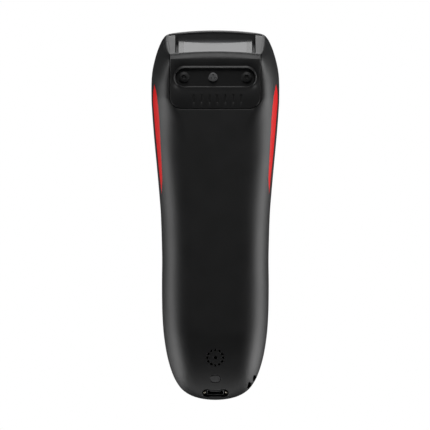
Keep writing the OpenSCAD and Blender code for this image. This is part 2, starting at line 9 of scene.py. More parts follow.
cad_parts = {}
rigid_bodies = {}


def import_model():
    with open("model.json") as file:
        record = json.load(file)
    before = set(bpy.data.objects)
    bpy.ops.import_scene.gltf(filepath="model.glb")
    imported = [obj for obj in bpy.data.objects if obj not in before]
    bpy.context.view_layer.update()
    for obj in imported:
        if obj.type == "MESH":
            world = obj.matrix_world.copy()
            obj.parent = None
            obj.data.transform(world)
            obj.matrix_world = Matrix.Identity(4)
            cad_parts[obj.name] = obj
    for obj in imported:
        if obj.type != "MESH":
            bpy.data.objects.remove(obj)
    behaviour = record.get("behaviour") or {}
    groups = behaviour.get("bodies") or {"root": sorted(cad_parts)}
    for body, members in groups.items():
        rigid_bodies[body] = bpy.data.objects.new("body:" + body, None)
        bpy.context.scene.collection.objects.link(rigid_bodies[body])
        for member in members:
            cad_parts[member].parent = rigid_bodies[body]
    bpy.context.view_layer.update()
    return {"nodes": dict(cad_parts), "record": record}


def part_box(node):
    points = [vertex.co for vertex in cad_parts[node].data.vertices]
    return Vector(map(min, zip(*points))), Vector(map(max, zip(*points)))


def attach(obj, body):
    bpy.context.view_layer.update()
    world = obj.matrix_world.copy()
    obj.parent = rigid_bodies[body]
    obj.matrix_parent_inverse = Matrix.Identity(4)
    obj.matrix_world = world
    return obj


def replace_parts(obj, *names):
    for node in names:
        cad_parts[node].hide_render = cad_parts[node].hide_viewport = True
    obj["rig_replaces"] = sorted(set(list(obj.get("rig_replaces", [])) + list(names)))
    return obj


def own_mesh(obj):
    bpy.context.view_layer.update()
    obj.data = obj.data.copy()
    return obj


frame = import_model()
MM = 0.001

# ------------------------------------------------------------------ body shape (millimetres)
WIDTH = [(-80, 21.2), (-79.2, 22.2), (-77.5, 23.6), (-75, 24.9), (-72, 25.9), (-69, 26.6), (-66, 27.1), (-63, 27.4), (-59, 27.6),
         (-55, 27.65), (-50, 27.6), (-45, 27.35), (-40, 27), (-35, 26.6), (-30, 26.15), (-20, 25.2), (-10, 24.3), (0, 23.55),
         (10, 23.2), (20, 23), (30, 23.1), (40, 23), (45, 22.8), (50, 22.45), (55, 21.85), (60, 21), (65, 19.75), (70, 17.95),
         (73, 16.3), (75, 14.8), (77, 12.4), (78.5, 9.4), (79.4, 6.2), (80, 0.001)]
TOP = [(-80, 23), (-79.3, 23.7), (-78, 24.2), (-75, 25), (-70, 26), (-65, 26.9), (-60, 27.6), (-55, 28), (-50, 28.15), (-45, 28.1),
       (-40, 27.9), (-30, 27.2), (-20, 26.4), (-10, 25.6), (0, 25), (10, 24.6), (20, 24.4), (35, 24.3), (52, 24.3)]
FLAT = [(-80, 19.2), (-60, 19.8), (-52, 19.7), (-47, 17.4), (-40, 13.4), (-32, 10.8), (-20, 9.6), (0, 9), (80, 9)]
FULL = [(-80, 1.2), (-60, 1.2), (-45, 1.1), (-35, 0.97), (-22, 0.87), (80, 0.87)]
SQUARE = [(-80, 12), (-76, 6), (-70, 4.2), (-60, 3.4), (-30, 2.8), (80, 2.5)]
TAIL_Z, SEAM_Z, LIP_H, RIM_Z = 17.0, 15.0, 2.34, 23.0
LEAN = math.radians(24.54)
TAN = math.tan(LEAN)


class Curve:
    def __init__(self, table):
        self.x = np.array([p[0] for p in table], float)
        self.y = np.array([p[1] for p in table], float)
        c = np.diff(self.y) / np.diff(self.x)
        m = np.empty_like(self.y)
        m[0], m[-1] = c[0], c[-1]
        a, b = c[:-1], c[1:]
        with np.errstate(divide="ignore", invalid="ignore"):
            m[1:-1] = np.where(a * b > 0, 2 * a * b / (a + b), 0)
        self.m = m

    def __call__(self, v):
        v = np.asarray(v, float)
        i = np.clip(np.searchsorted(self.x, v, side="right") - 1, 0, len(self.x) - 2)
        h = self.x[i + 1] - self.x[i]
        t = (v - self.x[i]) / h
        return ((2 * t**3 - 3 * t * t + 1) * self.y[i] + (t**3 - 2 * t * t + t) * h * self.m[i]
                + (3 * t * t - 2 * t**3) * self.y[i + 1] + (t**3 - t * t) * h * self.m[i + 1])


c_w, c_w2 = Curve(WIDTH), Curve([(a, b * b) for a, b in WIDTH])
c_top, c_flat, c_sq, c_full = Curve(TOP), Curve(FLAT), Curve(SQUARE), Curve(FULL)


def ease(t):
    t = np.clip(t, 0, 1)
    return t * t * (3 - 2 * t)


def half_w(s):
    s = np.clip(s, -80, 80)
    return np.where(s > 55, np.sqrt(np.maximum(0, c_w2(s))), c_w(s))


def belly_z(s):
    s = np.clip(s, -80, 80)
    u = np.clip((-77.5 - s) / 2.5, 0, 1)
    v = np.clip((s - 50) / 30, 0, 1)
    return LIP_H * (1 - np.sqrt(1 - u * u)) + TAIL_Z * (1 - (1 - v**1.7) ** (1 / 1.7))


def top_z(s):
    s = np.clip(s, -80, 80)
    u = np.clip((s - 52) / 28, 0, 1)
    return np.where(s < 52, c_top(np.minimum(s, 52)), TAIL_Z + 7.3 * np.sqrt(1 - u * u))


def wide_z(s):
    return SEAM_Z + 2 * np.clip((s - 45) / 35, 0, 1) ** 2


def flat_w(s):
    s = np.clip(s, -80, 80)
    f = c_flat(s)
    return np.where(s > 40, np.minimum(f, 0.42 * half_w(s)), f)


def lean(s):
    return TAN * (1 - ease((s + 78) / 33))


def bow(s):
    return (1 - ease((s + 77) / 22)) / 296


def place(s, x, z):
    s = np.broadcast_to(s, np.shape(x))
    return np.stack([x, s + bow(s) * x * x + lean(s) * (RIM_Z - z), z], -1)


def top_at_sx(s, x):
    w, zt, zw, nu = half_w(s), top_z(s), wide_z(s), c_sq(np.clip(s, -80, 80))
    u = np.clip(np.abs(x) / np.maximum(w, 1e-6), 0, 1)
    return zw + (zt - zw) * (1 - u**nu) ** (1 / nu)


def belly_at_sx(s, x):
    w, zb, zw, f = half_w(s), belly_z(s), wide_z(s), flat_w(s)
    u = np.clip((np.abs(x) - f) / np.maximum(w - f, 1e-6), 0, 1)
    n = 2 / c_full(np.clip(s, -80, 80))
    return zw - (zw - zb) * (1 - u**n) ** (1 / n)


def height(fn, x, y, n=25):
    """Height of the top or belly surface over plan points."""
    x, y = np.asarray(x, float), np.asarray(y, float)
    s = y.copy()
    for _ in range(n):
        z = fn(s, x)
        s = np.clip(0.5 * s + 0.5 * (y - bow(s) * x * x - lean(s) * (RIM_Z - z)), -80, 80)
    return fn(s, x)


def top_h(x, y):
    return height(top_at_sx, x, y)


def belly_h(x, y):
    return height(belly_at_sx, x, y)


def resample(px, pz, n):
    d = np.concatenate([[0], np.cumsum(np.hypot(np.diff(px), np.diff(pz)))])
    t = np.linspace(0, d[-1], n)
    return np.interp(t, d, px), np.interp(t, d, pz)


def half_lower(s, d, n, gap, rf, inner=False, t=1.8):
    """Right half of a lower section from the belly middle to the seam edge (x, z)."""
    w, f, zb, zw, _, _ = section(s, d, inner, t)
    q = float(c_full(max(-80, min(80, 50 + (s - 50) * 30 / (30 - t) if inner and s > 50 else s))))
    h = zw - zb
    rf = min(rf, 0.3 * h) if h > 0 else 0
    g = min(gap, 0.1 * h)
    tm = math.acos(min(1, ((g + rf) / h) ** (1 / q))) if h > 1e-6 else math.pi / 2
    a = np.linspace(0, tm, 160)
    x = np.concatenate([np.linspace(0, f, 40)[:-1], f + (w - f) * np.sin(a) ** q])
    z = np.concatenate([np.full(39, zb), zw - h * np.cos(a) ** q])
    x, z = resample(x, z, n)
    if rf > 0 and not inner:
        b = np.linspace(0, math.pi / 2, 6)[1:]
        x = np.concatenate([x, x[-1] - rf * (1 - np.cos(b))])
        z = np.concatenate([z, z[n - 1] + rf * np.sin(b)])
    return x, z


def half_upper(s, d, n, gap, rf, inner=False, t=1.8):
    """Right half of an upper section from the seam edge to the top middle (x, z)."""
    w, _, _, zw, zt, nu = section(s, d, inner, t)
    h = zt - zw
    rf = min(rf, 0.3 * h) if h > 0 else 0
    g = min(gap, 0.1 * h)
    t0 = math.asin(min(1, ((g + rf) / h) ** (nu / 2))) if h > 1e-6 else 0
    a = t0 + (math.pi / 2 - t0) * np.linspace(0, 1, 400) ** 1.0
    # denser sampling towards the crown, where the power law stretches the steps
    a = np.concatenate([a, math.pi / 2 - (math.pi / 2 - t0) * np.geomspace(1, 1e-9, 400)])
    a = np.unique(a)
    x = w * np.maximum(0, np.cos(a)) ** (2 / nu)
    z = zw + h * np.sin(a) ** (2 / nu)
    x[-1] = 0
    x, z = resample(x, z, n)
    if rf > 0 and not inner:
        b = np.linspace(0, math.pi / 2, 6)[1:]
        x = np.concatenate([(x[0] - rf * (1 - np.cos(b)))[::-1], x])
        z = np.concatenate([(z[0] - rf * np.sin(b))[::-1], z])
    return x, z


def section(s, d, inner, t):
    """(half width, flat half width, belly z, seam z, top z, squareness) of the outer or inner skin."""
    if not inner:
        return (float(half_w(s)) - d, float(flat_w(s)) - 0.3 * d, float(belly_z(s)) + d, float(wide_z(s)), float(top_z(s)) - d,
                float(c_sq(max(-80, s))))
    e = 50 + (s - 50) * 30 / (30 - t) if s > 50 else s
    k = 1 - t / 22.45
    if s > 50:
        return (float(half_w(e)) * k, float(flat_w(e)) * k, TAIL_Z - (TAIL_Z - float(belly_z(e))) * (1 - t / TAIL_Z),
                float(wide_z(e)), TAIL_Z + (float(top_z(e)) - TAIL_Z) * (1 - t / 7.3), float(c_sq(e)))
    ts = t * (0.4 + 0.6 * float(ease((s + 80) / 9)))
    return (float(half_w(s)) - ts + d, float(flat_w(s)) - 0.2, t - d, float(wide_z(s)), float(top_z(s)) - t + d, float(c_sq(max(-80, s))))


# ------------------------------------------------------------------ mesh helpers
def new_obj(name, verts, faces, smooth=True):
    me = bpy.data.meshes.new(name)
    me.from_pydata([tuple(float(c) * MM for c in v) for v in verts], [], [tuple(int(i) for i in f) for f in faces])
    me.update()
    o = bpy.data.objects.new(name, me)
    bpy.context.scene.collection.objects.link(o)
    if smooth:
        me.polygons.foreach_set("use_smooth", [True] * len(me.polygons))
    return o


def fix(o, merge=1e-7):
    bm = bmesh.new()
    bm.from_mesh(o.data)
    bmesh.ops.remove_doubles(bm, verts=bm.verts, dist=merge)
    bmesh.ops.dissolve_degenerate(bm, edges=bm.edges, dist=merge)
    bmesh.ops.recalc_face_normals(bm, faces=bm.faces)
    bm.to_mesh(o.data)
    bm.free()
    return o


def grid(rings, closed, cap=True, name="grid"):
    """A closed solid over rings of points; closed says that each ring is a loop."""
    rings = [np.asarray(r, float) for r in rings]
    n, m = len(rings[0]), len(rings)
    v = np.concatenate(rings)
    f = []
    last = n if closed else n - 1
    for i in range(m - 1):
        for j in range(last):
            k = (j + 1) % n
            f.append((i * n + j, i * n + k, (i + 1) * n + k, (i + 1) * n + j))
    if cap == "c":  # C-shaped loop: outer half then inner half, joined across
        h = n // 2
        for i in (0, m - 1):
            for j in range(h - 1):
                q = (i * n + j, i * n + j + 1, i * n + n - 2 - j, i * n + n - 1 - j)
                f.append(q[::-1] if i == 0 else q)
    elif cap:
        f.append(tuple(range(n))[::-1])
        f.append(tuple((m - 1) * n + j for j in range(n)))
    o = new_obj(name, v, f)
    return fix(o)


def boolean(o, cutters, op="DIFFERENCE", solver="MANIFOLD", keep=False):
    """Applies a boolean with each cutter in turn."""
    for c in cutters if isinstance(cutters, (list, tuple)) else [cutters]:
        m = o.modifiers.new("b", "BOOLEAN")
        m.operation, m.solver, m.object = op, solver, c
    bpy.context.view_layer.update()
    dg = bpy.context.evaluated_depsgraph_get()
    me = bpy.data.meshes.new_from_object(o.evaluated_get(dg), depsgraph=dg)
    o.modifiers.clear()
    old = o.data
    o.data = me
    bpy.data.meshes.remove(old)
    if not keep:
        for c in cutters if isinstance(cutters, (list, tuple)) else [cutters]:
            bpy.data.objects.remove(c)
    return o


def sharpen(o, deg=32):
    """Smooth shading with hard edges over an angle."""
    bm = bmesh.new()
    bm.from_mesh(o.data)
    bmesh.ops.remove_doubles(bm, verts=bm.verts, dist=2e-7)
    bmesh.ops.dissolve_degenerate(bm, edges=bm.edges, dist=2e-7)
    lim = math.radians(deg)
    for f in bm.faces:
        f.smooth = True
    for e in bm.edges:
        e.smooth = not (len(e.link_faces) == 2 and e.calc_face_angle(0) > lim)
    bm.to_mesh(o.data)
    bm.free()
    return o


def stack(outline, levels, matrix=None, name="stack"):
    """Closed solid through outlines; outline(offset) gives (n, 2) points and levels are (offset, z) or
    (offset, function of x, y giving z)."""
    rings = []
    for off, z in levels:
        p = outline(off)
        zz = z(p[:, 0], p[:, 1]) if callable(z) else np.full(len(p), float(z))
        rings.append(np.column_stack([p, zz]))
    o = grid(rings, True, True, name)
    if matrix is not None:
        o.data.transform(matrix)
        o.data.update()
    return o


def pill(half, r, n=24, along="x", cx=0.0, cy=0.0, flat_pts=1):
    """Outline function of a shape with round ends, grown by its argument."""
    def f(off):
        a = np.linspace(-math.pi / 2, math.pi / 2, n)
        right = np.column_stack([half + (r + off) * np.cos(a), (r + off) * np.sin(a)])
        left = -right
        p = []
        p.append(right)
        if flat_pts > 1:
            t = np.linspace(0, 1, flat_pts + 1)[1:-1, None]
            p.append(right[-1] + (left[0] - right[-1]) * t)
        p.append(left)
        if flat_pts > 1:
            p.append(left[-1] + (right[0] - left[-1]) * t)
        p = np.concatenate(p)
        if along == "y":
            p = np.column_stack([-p[:, 1], p[:, 0]])
        return p + [cx, cy]
    return f


def disc(r, n=48, cx=0.0, cy=0.0):
    a = np.linspace(0, 2 * math.pi, n, endpoint=False)
    return lambda off: np.column_stack([cx + (r + off) * np.cos(a), cy + (r + off) * np.sin(a)])


def ell(rx, ry, n=64, cx=0.0, cy=0.0):
    a = np.linspace(0, 2 * math.pi, n, endpoint=False)
    return lambda off: np.column_stack([cx + (rx + off) * np.cos(a), cy + (ry + off) * np.sin(a)])


def rect(x0, x1, y0, y1, r, n=8):
    """Rounded rectangle outline function, grown by its argument."""
    def f(off):
        q = []
        rr = max(1e-4, r + off)
        for cx, cy, a0 in ((x1 - r, y1 - r, 0), (x0 + r, y1 - r, 90), (x0 + r, y0 + r, 180), (x1 - r, y0 + r, 270)):
            a = np.radians(np.linspace(a0, a0 + 90, n))
            q.append(np.column_stack([cx + rr * np.cos(a), cy + rr * np.sin(a)]))
        return np.concatenate(q)
    return f


def rot_x(deg, origin):
    return Matrix.Translation(Vector(origin) * MM) @ Matrix.Rotation(math.radians(deg), 4, "X")


NOSE = rot_x(24.54, (0, -69.5, 0))
PORT = rot_x(30, (0, 77.05, 11.3))
BUZZ = rot_x(17.6, (0, 61.5, 2.04))
TRIG = rot_x(-3.4, (0, -32, 27.3))


def flare(r, n=5):
    """Offsets and depths of a rounded mouth of radius r: (grow, depth below the surface)."""
    a = np.linspace(0, math.pi / 2, n)
    return [(r * (1 - math.sin(t)), r * (1 - math.cos(t))) for t in a]


def cover_plan(extra=0.0):
    hw, rear, r = 19.5 + extra, -45.8 + extra, 4.8 + extra

    def f(off):
        a = np.radians(np.linspace(0, 90, 14))
        rr = r + off
        right = np.column_stack([hw - r + rr * np.cos(a), rear - r + rr * np.sin(a)])
        left = np.column_stack([-right[::-1, 0], right[::-1, 1]])
        n = 30
        t = np.linspace(0, 1, n + 1)[1:-1, None]
        mid = right[-1] + (left[0] - right[-1]) * t
        ya = np.linspace(rear - r, -90, 40)[1:]
        ls = np.column_stack([np.full(len(ya), -(hw + off)), ya])
        rs = np.column_stack([np.full(len(ya), hw + off), ya])[::-1]
        return np.concatenate([rs, right, mid, left, ls])
    return f


# ------------------------------------------------------------------ stations
def stations(coarse=1.0):
    front = -80 + 0.3 * (1 - np.cos(np.linspace(0, math.pi / 2, 6)))
    a = np.linspace(-79.7, -70, int(26 * coarse))[1:]
    b = np.linspace(-70, 50, int(120 * coarse))[1:]
    th = np.linspace(0, math.pi / 2, int(64 * coarse))[1:-1]
    c = np.concatenate([50 + 30 * np.sin(th), [79.9999]])
    return np.concatenate([front, a, b, c])


def inset(s, r=0.3):
    d = s + 80
    return r - math.sqrt(max(0, r * r - (r - d) ** 2)) if d < r else 0.0


def inner_station(s, t=1.8):
    return 50 + (s - 50) * (30 - t) / 30 if s > 50 else s


GAP, RF = 0.05, 0.28
N_LOW, N_UP = 62, 62


def lower_ring(s):
    d = inset(s)
    x, z = half_lower(s, d, N_LOW, GAP, RF)
    si = inner_station(s)
    xi, zi = half_lower(si, d, N_LOW + 5, GAP, 0.0, inner=True)
    xi[-1] = min(xi[-1], x[-1] - 0.01) if s < 79 else xi[-1]
    zi[-1] = z[-1]
    outer = np.concatenate([place(s, -x[::-1], z[::-1]), place(s, x[1:], z[1:])])
    inner = np.concatenate([place(si, xi[::-1], zi[::-1]), place(si, -xi[1:], zi[1:])])
    return np.concatenate([outer, inner])


def upper_ring(s):
    d = inset(s)
    x, z = half_upper(s, d, N_UP, GAP, RF)
    si = inner_station(s)
    xi, zi = half_upper(si, d, N_UP + 5, GAP, 0.0, inner=True)
    zi[0] = z[0]
    outer = np.concatenate([place(s, x, z), place(s, -x[:-1][::-1], z[:-1][::-1])])
    inner = np.concatenate([place(si, -xi, zi), place(si, xi[:-1][::-1], zi[:-1][::-1])])
    return np.concatenate([outer, inner])


def build_lower():
    o = grid([lower_ring(s) for s in stations()], True, "c", "lower_shell")
    return o


def build_upper():
    o = grid([upper_ring(s) for s in stations()], True, "c", "upper_shell")
    return o


# ------------------------------------------------------------------ materials
def nodes_of(name):
    m = bpy.data.materials.new(name)
    m.use_nodes = True
    nt = m.node_tree
    nt.nodes.clear()
    out = nt.nodes.new("ShaderNodeOutputMaterial")
    return m, nt, out


def plastic(name, color, rough=0.5, grain=0.35, scale=9000.0, bump=0.12, spec=0.5, coat=0.0, mottled=0.12):
    """Moulded plastic with a spark-eroded grain, slow tone changes and worn patches."""
    m, nt, out = nodes_of(name)
    N, L = nt.nodes.new, nt.links.new
    p = N("ShaderNodeBsdfPrincipled")
    tc = N("ShaderNodeTexCoord")
    n1 = N("ShaderNodeTexNoise"); n1.inputs["Scale"].default_value = scale; n1.inputs["Detail"].default_value = 2
    n2 = N("ShaderNodeTexNoise"); n2.inputs["Scale"].default_value = 90; n2.inputs["Detail"].default_value = 4
    L(tc.outputs["Object"], n1.inputs["Vector"]); L(tc.outputs["Object"], n2.inputs["Vector"])
    mix = N("ShaderNodeMix"); mix.data_type = "RGBA"
    c = np.array(color)
    mix.inputs["A"].default_value = (*[float(v) for v in c * (1 - mottled)], 1)
    mix.inputs["B"].default_value = (*[float(v) for v in c * (1 + mottled)], 1)
    L(n2.outputs["Fac"], mix.inputs["Factor"]); L(mix.outputs["Result"], p.inputs["Base Color"])
    mr = N("ShaderNodeMapRange"); mr.inputs["To Min"].default_value = rough - 0.06; mr.inputs["To Max"].default_value = rough + 0.06
    L(n2.outputs["Fac"], mr.inputs["Value"]); L(mr.outputs["Result"], p.inputs["Roughness"])
    b = N("ShaderNodeBump"); b.inputs["Strength"].default_value = grain; b.inputs["Distance"].default_value = bump * MM
    L(n1.outputs["Fac"], b.inputs["Height"]); L(b.outputs["Normal"], p.inputs["Normal"])
    p.inputs["Specular IOR Level"].default_value = spec
    if coat:
        p.inputs["Coat Weight"].default_value = coat
        p.inputs["Coat Roughness"].default_value = 0.25
    L(p.outputs["BSDF"], out.inputs["Surface"])
    return m


def metal(name, color, rough=0.3, brushed=False):
    m, nt, out = nodes_of(name)
    N, L = nt.nodes.new, nt.links.new
    p = N("ShaderNodeBsdfPrincipled"); p.inputs["Metallic"].default_value = 1
    tc = N("ShaderNodeTexCoord"); mp = N("ShaderNodeMapping")
    mp.inputs["Scale"].default_value = (1, 1, 14) if brushed else (1, 1, 1)
    n = N("ShaderNodeTexNoise"); n.inputs["Scale"].default_value = 1800; n.inputs["Detail"].default_value = 3
    L(tc.outputs["Object"], mp.inputs["Vector"]); L(mp.outputs["Vector"], n.inputs["Vector"])
    mix = N("ShaderNodeMix"); mix.data_type = "RGBA"
    c = np.array(color)
    mix.inputs["A"].default_value = (*[float(v) for v in c * 0.86], 1); mix.inputs["B"].default_value = (*[float(v) for v in np.minimum(1, c * 1.1)], 1)
    L(n.outputs["Fac"], mix.inputs["Factor"]); L(mix.outputs["Result"], p.inputs["Base Color"])
    mr = N("ShaderNodeMapRange"); mr.inputs["To Min"].default_value = rough * 0.8; mr.inputs["To Max"].default_value = rough * 1.3
    L(n.outputs["Fac"], mr.inputs["Value"]); L(mr.outputs["Result"], p.inputs["Roughness"])
    b = N("ShaderNodeBump"); b.inputs["Strength"].default_value = 0.1; b.inputs["Distance"].default_value = 0.02 * MM
    L(n.outputs["Fac"], b.inputs["Height"]); L(b.outputs["Normal"], p.inputs["Normal"])
    L(p.outputs["BSDF"], out.inputs["Surface"])
    return m


M_BODY = plastic("body_black", (0.0052, 0.0052, 0.0054), rough=0.46, grain=0.6, scale=4200, bump=0.05, mottled=0.3)
M_UPPER = plastic("upper_black", (0.0052, 0.0052, 0.0054), rough=0.46, grain=0.6, scale=4200, bump=0.05, mottled=0.3)
M_COVER = plastic("cover_black", (0.0054, 0.0054, 0.0056), rough=0.43, grain=0.4, scale=4200, bump=0.04, mottled=0.25)
M_RED = plastic("insert_red", (0.6, 0.008, 0.008), rough=0.42, grain=0.2, scale=5200, bump=0.03, spec=0.2, mottled=0.04)


def drop_crumbs(o, least=6):
    """Deletes loose slivers that a boolean leaves, which no closed shape is as small as."""
    bm = bmesh.new(); bm.from_mesh(o.data)
    seen, dead = set(), []
    for f in bm.faces:
        if f in seen:
            continue
        seen.add(f)
        todo, group = [f], []
        while todo:
            q = todo.pop()
            group.append(q)
            for e in q.edges:
                for g in e.link_faces:
                    if g not in seen:
                        seen.add(g); todo.append(g)
        if len(group) < least:
            dead += list({v for q in group for v in q.verts})
    if dead:
        bmesh.ops.delete(bm, geom=list(set(dead)), context="VERTS")
        bm.to_mesh(o.data)
    bm.free()


def dress(o, mat, body="case", replaces=(), sharp=32):
    if sharp:
        drop_crumbs(o)
    o.data.materials.clear()
    o.data.materials.append(mat)
    if sharp:
        sharpen(o, sharp)
    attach(o, body)
    if replaces:
        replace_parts(o, *replaces)
    return o


# ------------------------------------------------------------------ camera, lights, floor
def area(name, loc, target, size, size_y, power, color=(1, 1, 1)):
    l = bpy.data.lights.new(name, "AREA")
    l.shape, l.size, l.size_y, l.energy, l.color = "RECTANGLE", size, size_y, power, color
    o = bpy.data.objects.new(name, l)
    bpy.context.scene.collection.objects.link(o)
    o.location = loc
    o.rotation_mode = "QUATERNION"
    o.rotation_quaternion = (Vector(target) - Vector(loc)).to_track_quat("-Z", "Y")
    o.visible_camera = False
    return o


def studio():
    cam = bpy.data.cameras.new("cam")
    cam.lens, cam.sensor_width = 700, 36
    co = bpy.data.objects.new("cam", cam)
    bpy.context.scene.collection.objects.link(co)
    # looking straight up at the underside, nose at the top of the picture
    dist = 0.4324 * 0.430 / 36 * 700
    co.location = (-0.00015, 0.00004, 0.017 - dist)
    co.rotation_mode = "QUATERNION"
    co.rotation_quaternion = Matrix(((1, 0, 0), (0, -1, 0), (0, 0, -1))).to_quaternion()
    cam.clip_start, cam.clip_end = 0.01, 20
    bpy.context.scene.camera = co

    w = bpy.data.worlds.new("world")
    bpy.context.scene.world = w
    w.use_nodes = True
    nt = w.node_tree
    nt.nodes.clear()
    N, L = nt.nodes.new, nt.links.new
    out = N("ShaderNodeOutputWorld")
    lp = N("ShaderNodeLightPath")
    b1 = N("ShaderNodeBackground"); b1.inputs["Color"].default_value = (1, 1, 1, 1); b1.inputs["Strength"].default_value = 1.0
    b2 = N("ShaderNodeBackground"); b2.inputs["Color"].default_value = (0.9, 0.95, 1, 1); b2.inputs["Strength"].default_value = 0.03
    mx = N("ShaderNodeMixShader")
    L(lp.outputs["Is Camera Ray"], mx.inputs["Fac"]); L(b2.outputs[0], mx.inputs[1]); L(b1.outputs[0], mx.inputs[2])
    L(mx.outputs[0], out.inputs["Surface"])

    bpy.context.scene.view_settings.view_transform = "Standard"

    # floor seen from above only
    me = bpy.data.meshes.new("floor")
    me.from_pydata([(-3, -3, 0), (3, -3, 0), (3, 3, 0), (-3, 3, 0)], [], [(0, 1, 2, 3)])
    fl = bpy.data.objects.new("floor", me)
    bpy.context.scene.collection.objects.link(fl)
    fl.location.z = -0.0002
    m, nt, out = nodes_of("floor_pale")
    N, L = nt.nodes.new, nt.links.new
    p = N("ShaderNodeBsdfPrincipled"); p.inputs["Base Color"].default_value = (0.8, 0.8, 0.8, 1); p.inputs["Roughness"].default_value = 0.8
    tr = N("ShaderNodeBsdfTransparent"); ge = N("ShaderNodeNewGeometry"); mx = N("ShaderNodeMixShader")
    L(ge.outputs["Backfacing"], mx.inputs["Fac"]); L(p.outputs["BSDF"], mx.inputs[1]); L(tr.outputs["BSDF"], mx.inputs[2])
    # the sweep stays pale where the lamps no longer reach
    tc = N("ShaderNodeTexCoord"); ln = N("ShaderNodeVectorMath"); ln.operation = "LENGTH"
    far = N("ShaderNodeMapRange"); far.interpolation_type = "SMOOTHSTEP"
    far.inputs["From Min"].default_value = 0.3; far.inputs["From Max"].default_value = 1.9
    far.inputs["To Min"].default_value = 0.0; far.inputs["To Max"].default_value = 0.95
    L(tc.outputs["Object"], ln.inputs[0]); L(ln.outputs["Value"], far.inputs["Value"])
    p.inputs["Emission Color"].default_value = (1, 1, 1, 1)
    L(far.outputs["Result"], p.inputs["Emission Strength"])
    L(mx.outputs[0], out.inputs["Surface"])
    me.materials.append(m)
    fl.visible_shadow = False
    fl.visible_diffuse = False
    fl.visible_glossy = False
    fl.visible_transmission = False

    def soft(name, az, el, dist, w, h, radiance, color=(1, 1, 1)):
        """Softbox seen from the object at azimuth az (0 = +X, 90 = +Y) and elevation el, w wide and h high."""
        a, e = math.radians(az), math.radians(el)
        loc = Vector((math.cos(a) * math.cos(e), math.sin(a) * math.cos(e), math.sin(e))) * dist
        area(name, loc, (0, 0, 0.012), w, h, radiance * math.pi * w * h, color)

    soft("right", 8, -1, 0.9, 1.3, 0.7, 3.9)
    soft("left", 160, -3, 0.9, 1.15, 0.7, 3.3)
    soft("front", -90, -34, 0.9, 0.42, 1.0, 3.8)
    soft("rear", 90, -2, 0.9, 0.8, 0.5, 1.1)
    soft("rear_right", 42, -4, 0.9, 0.35, 0.5, 2.0)
    soft("rear_left", 138, -4, 0.9, 0.35, 0.5, 1.5)
    soft("front_high", -90, 40, 0.9, 0.6, 0.6, 2.2)
    soft("top_right", 30, 32, 1.0, 0.7, 0.4, 1.5)
    soft("top_left", 150, 36, 1.0, 0.7, 0.4, 0.9)


# ------------------------------------------------------------------ solids and cutters
def box(x0, x1, y0, y1, z0, z1, matrix=None, name="box"):
    v = [(x, y, z) for z in (z0, z1) for x, y in ((x0, y0), (x1, y0), (x1, y1), (x0, y1))]
    o = new_obj(name, v, [(3, 2, 1, 0), (4, 5, 6, 7), (0, 1, 5, 4), (1, 2, 6, 5), (2, 3, 7, 6), (3, 0, 4, 7)], False)
    if matrix is not None:
        o.data.transform(matrix)
    return o


def spun(levels, n=64, cx=0.0, cy=0.0, matrix=None, name="spun"):
    """Solid of revolution about a vertical axis through (radius, z) levels."""
    return stack(disc(0.0, n, cx, cy), [(max(r, 1e-3), z) for r, z in levels], matrix, name)


def local_surface(matrix, fn, n=14):
    """Height in a local frame of the top or belly surface, over local x, y (millimetres)."""
    m = np.array(matrix)
    r, t = m[:3, :3], m[:3, 3] / MM

    def f(x, y):
        x, y = np.asarray(x, float), np.asarray(y, float)
        z = np.zeros_like(x)
        for _ in range(n):
            p = np.stack([x, y, z], -1) @ r.T + t
            z = z + (fn(p[..., 0], p[..., 1]) - p[..., 2]) / max(0.5, r[2, 2])
        return z
    return f


IDENT = Matrix.Identity(4)


def mouth(r, g=0.0, t0=12, n=6, lift=1.0):
    """Levels (grow, depth) of a rounded mouth: starts above the surface and ends on the straight wall."""
    a = np.radians(np.linspace(t0, 90, n))
    c = 1 / math.tan(math.radians(t0))
    o0 = r * (1 - math.sin(a[0])) + c * (r * (1 - math.cos(a[0])) + 0.05)
    return [(g + o0, -lift), (g + o0, -0.05)] + [(g + r * (1 - math.sin(t)), r * (1 - math.cos(t))) for t in a]


def carve(outline, levels, fn, matrix=IDENT, sign=1, floor=None, name="cut"):
    """Cutter whose levels keep to a depth under the surface; floor is a last level (grow, local z)."""
    h = local_surface(matrix, fn)
    lv = [(o, (lambda x, y, d=d: h(x, y) + sign * d)) for o, d in levels]
    for f in floor or []:
        lv.append(f)
    return stack(outline, lv, matrix, name)


def full_body(t, s0=-80.0, d=0.0):
    """Solid that fills the outer skin moved in by t."""
    rings = []
    for s in np.concatenate([[s0 - 4], np.linspace(s0, 50, 80), 50 + 30 * np.sin(np.linspace(0, math.pi / 2, 30)[1:-1]), [79.99]]):
        si = inner_station(s, t)
        xl, zl = half_lower(si, d, 40, 0, 0, True, t)
        xu, zu = half_upper(si, d, 40, 0, 0, True, t)
        x = np.concatenate([xl, xu[1:]])
        z = np.concatenate([zl, zu[1:]])
        rings.append(np.concatenate([place(si, x, z), place(si, -x[1:-1][::-1], z[1:-1][::-1])]))
    return grid(rings, True, True, "fill")


def joined(items):
    o = items[0]
    return boolean(o, items[1:], "UNION") if len(items) > 1 else o


def sweep_x(profile, xs, closed=True, name="sweep"):
    """Solid from a closed (y, z) profile given at each x."""
    return grid([np.column_stack([np.full(len(profile(x)), x), profile(x)]) for x in xs], True, True, name)


def strip_out(z):
    """How far the bezel strips beside the window reach past the cover plate, by height."""
    return 0.8 * float(ease((z - 3.0) / 16.0))


BELLY_Z = 0.0
FIT = 0.12


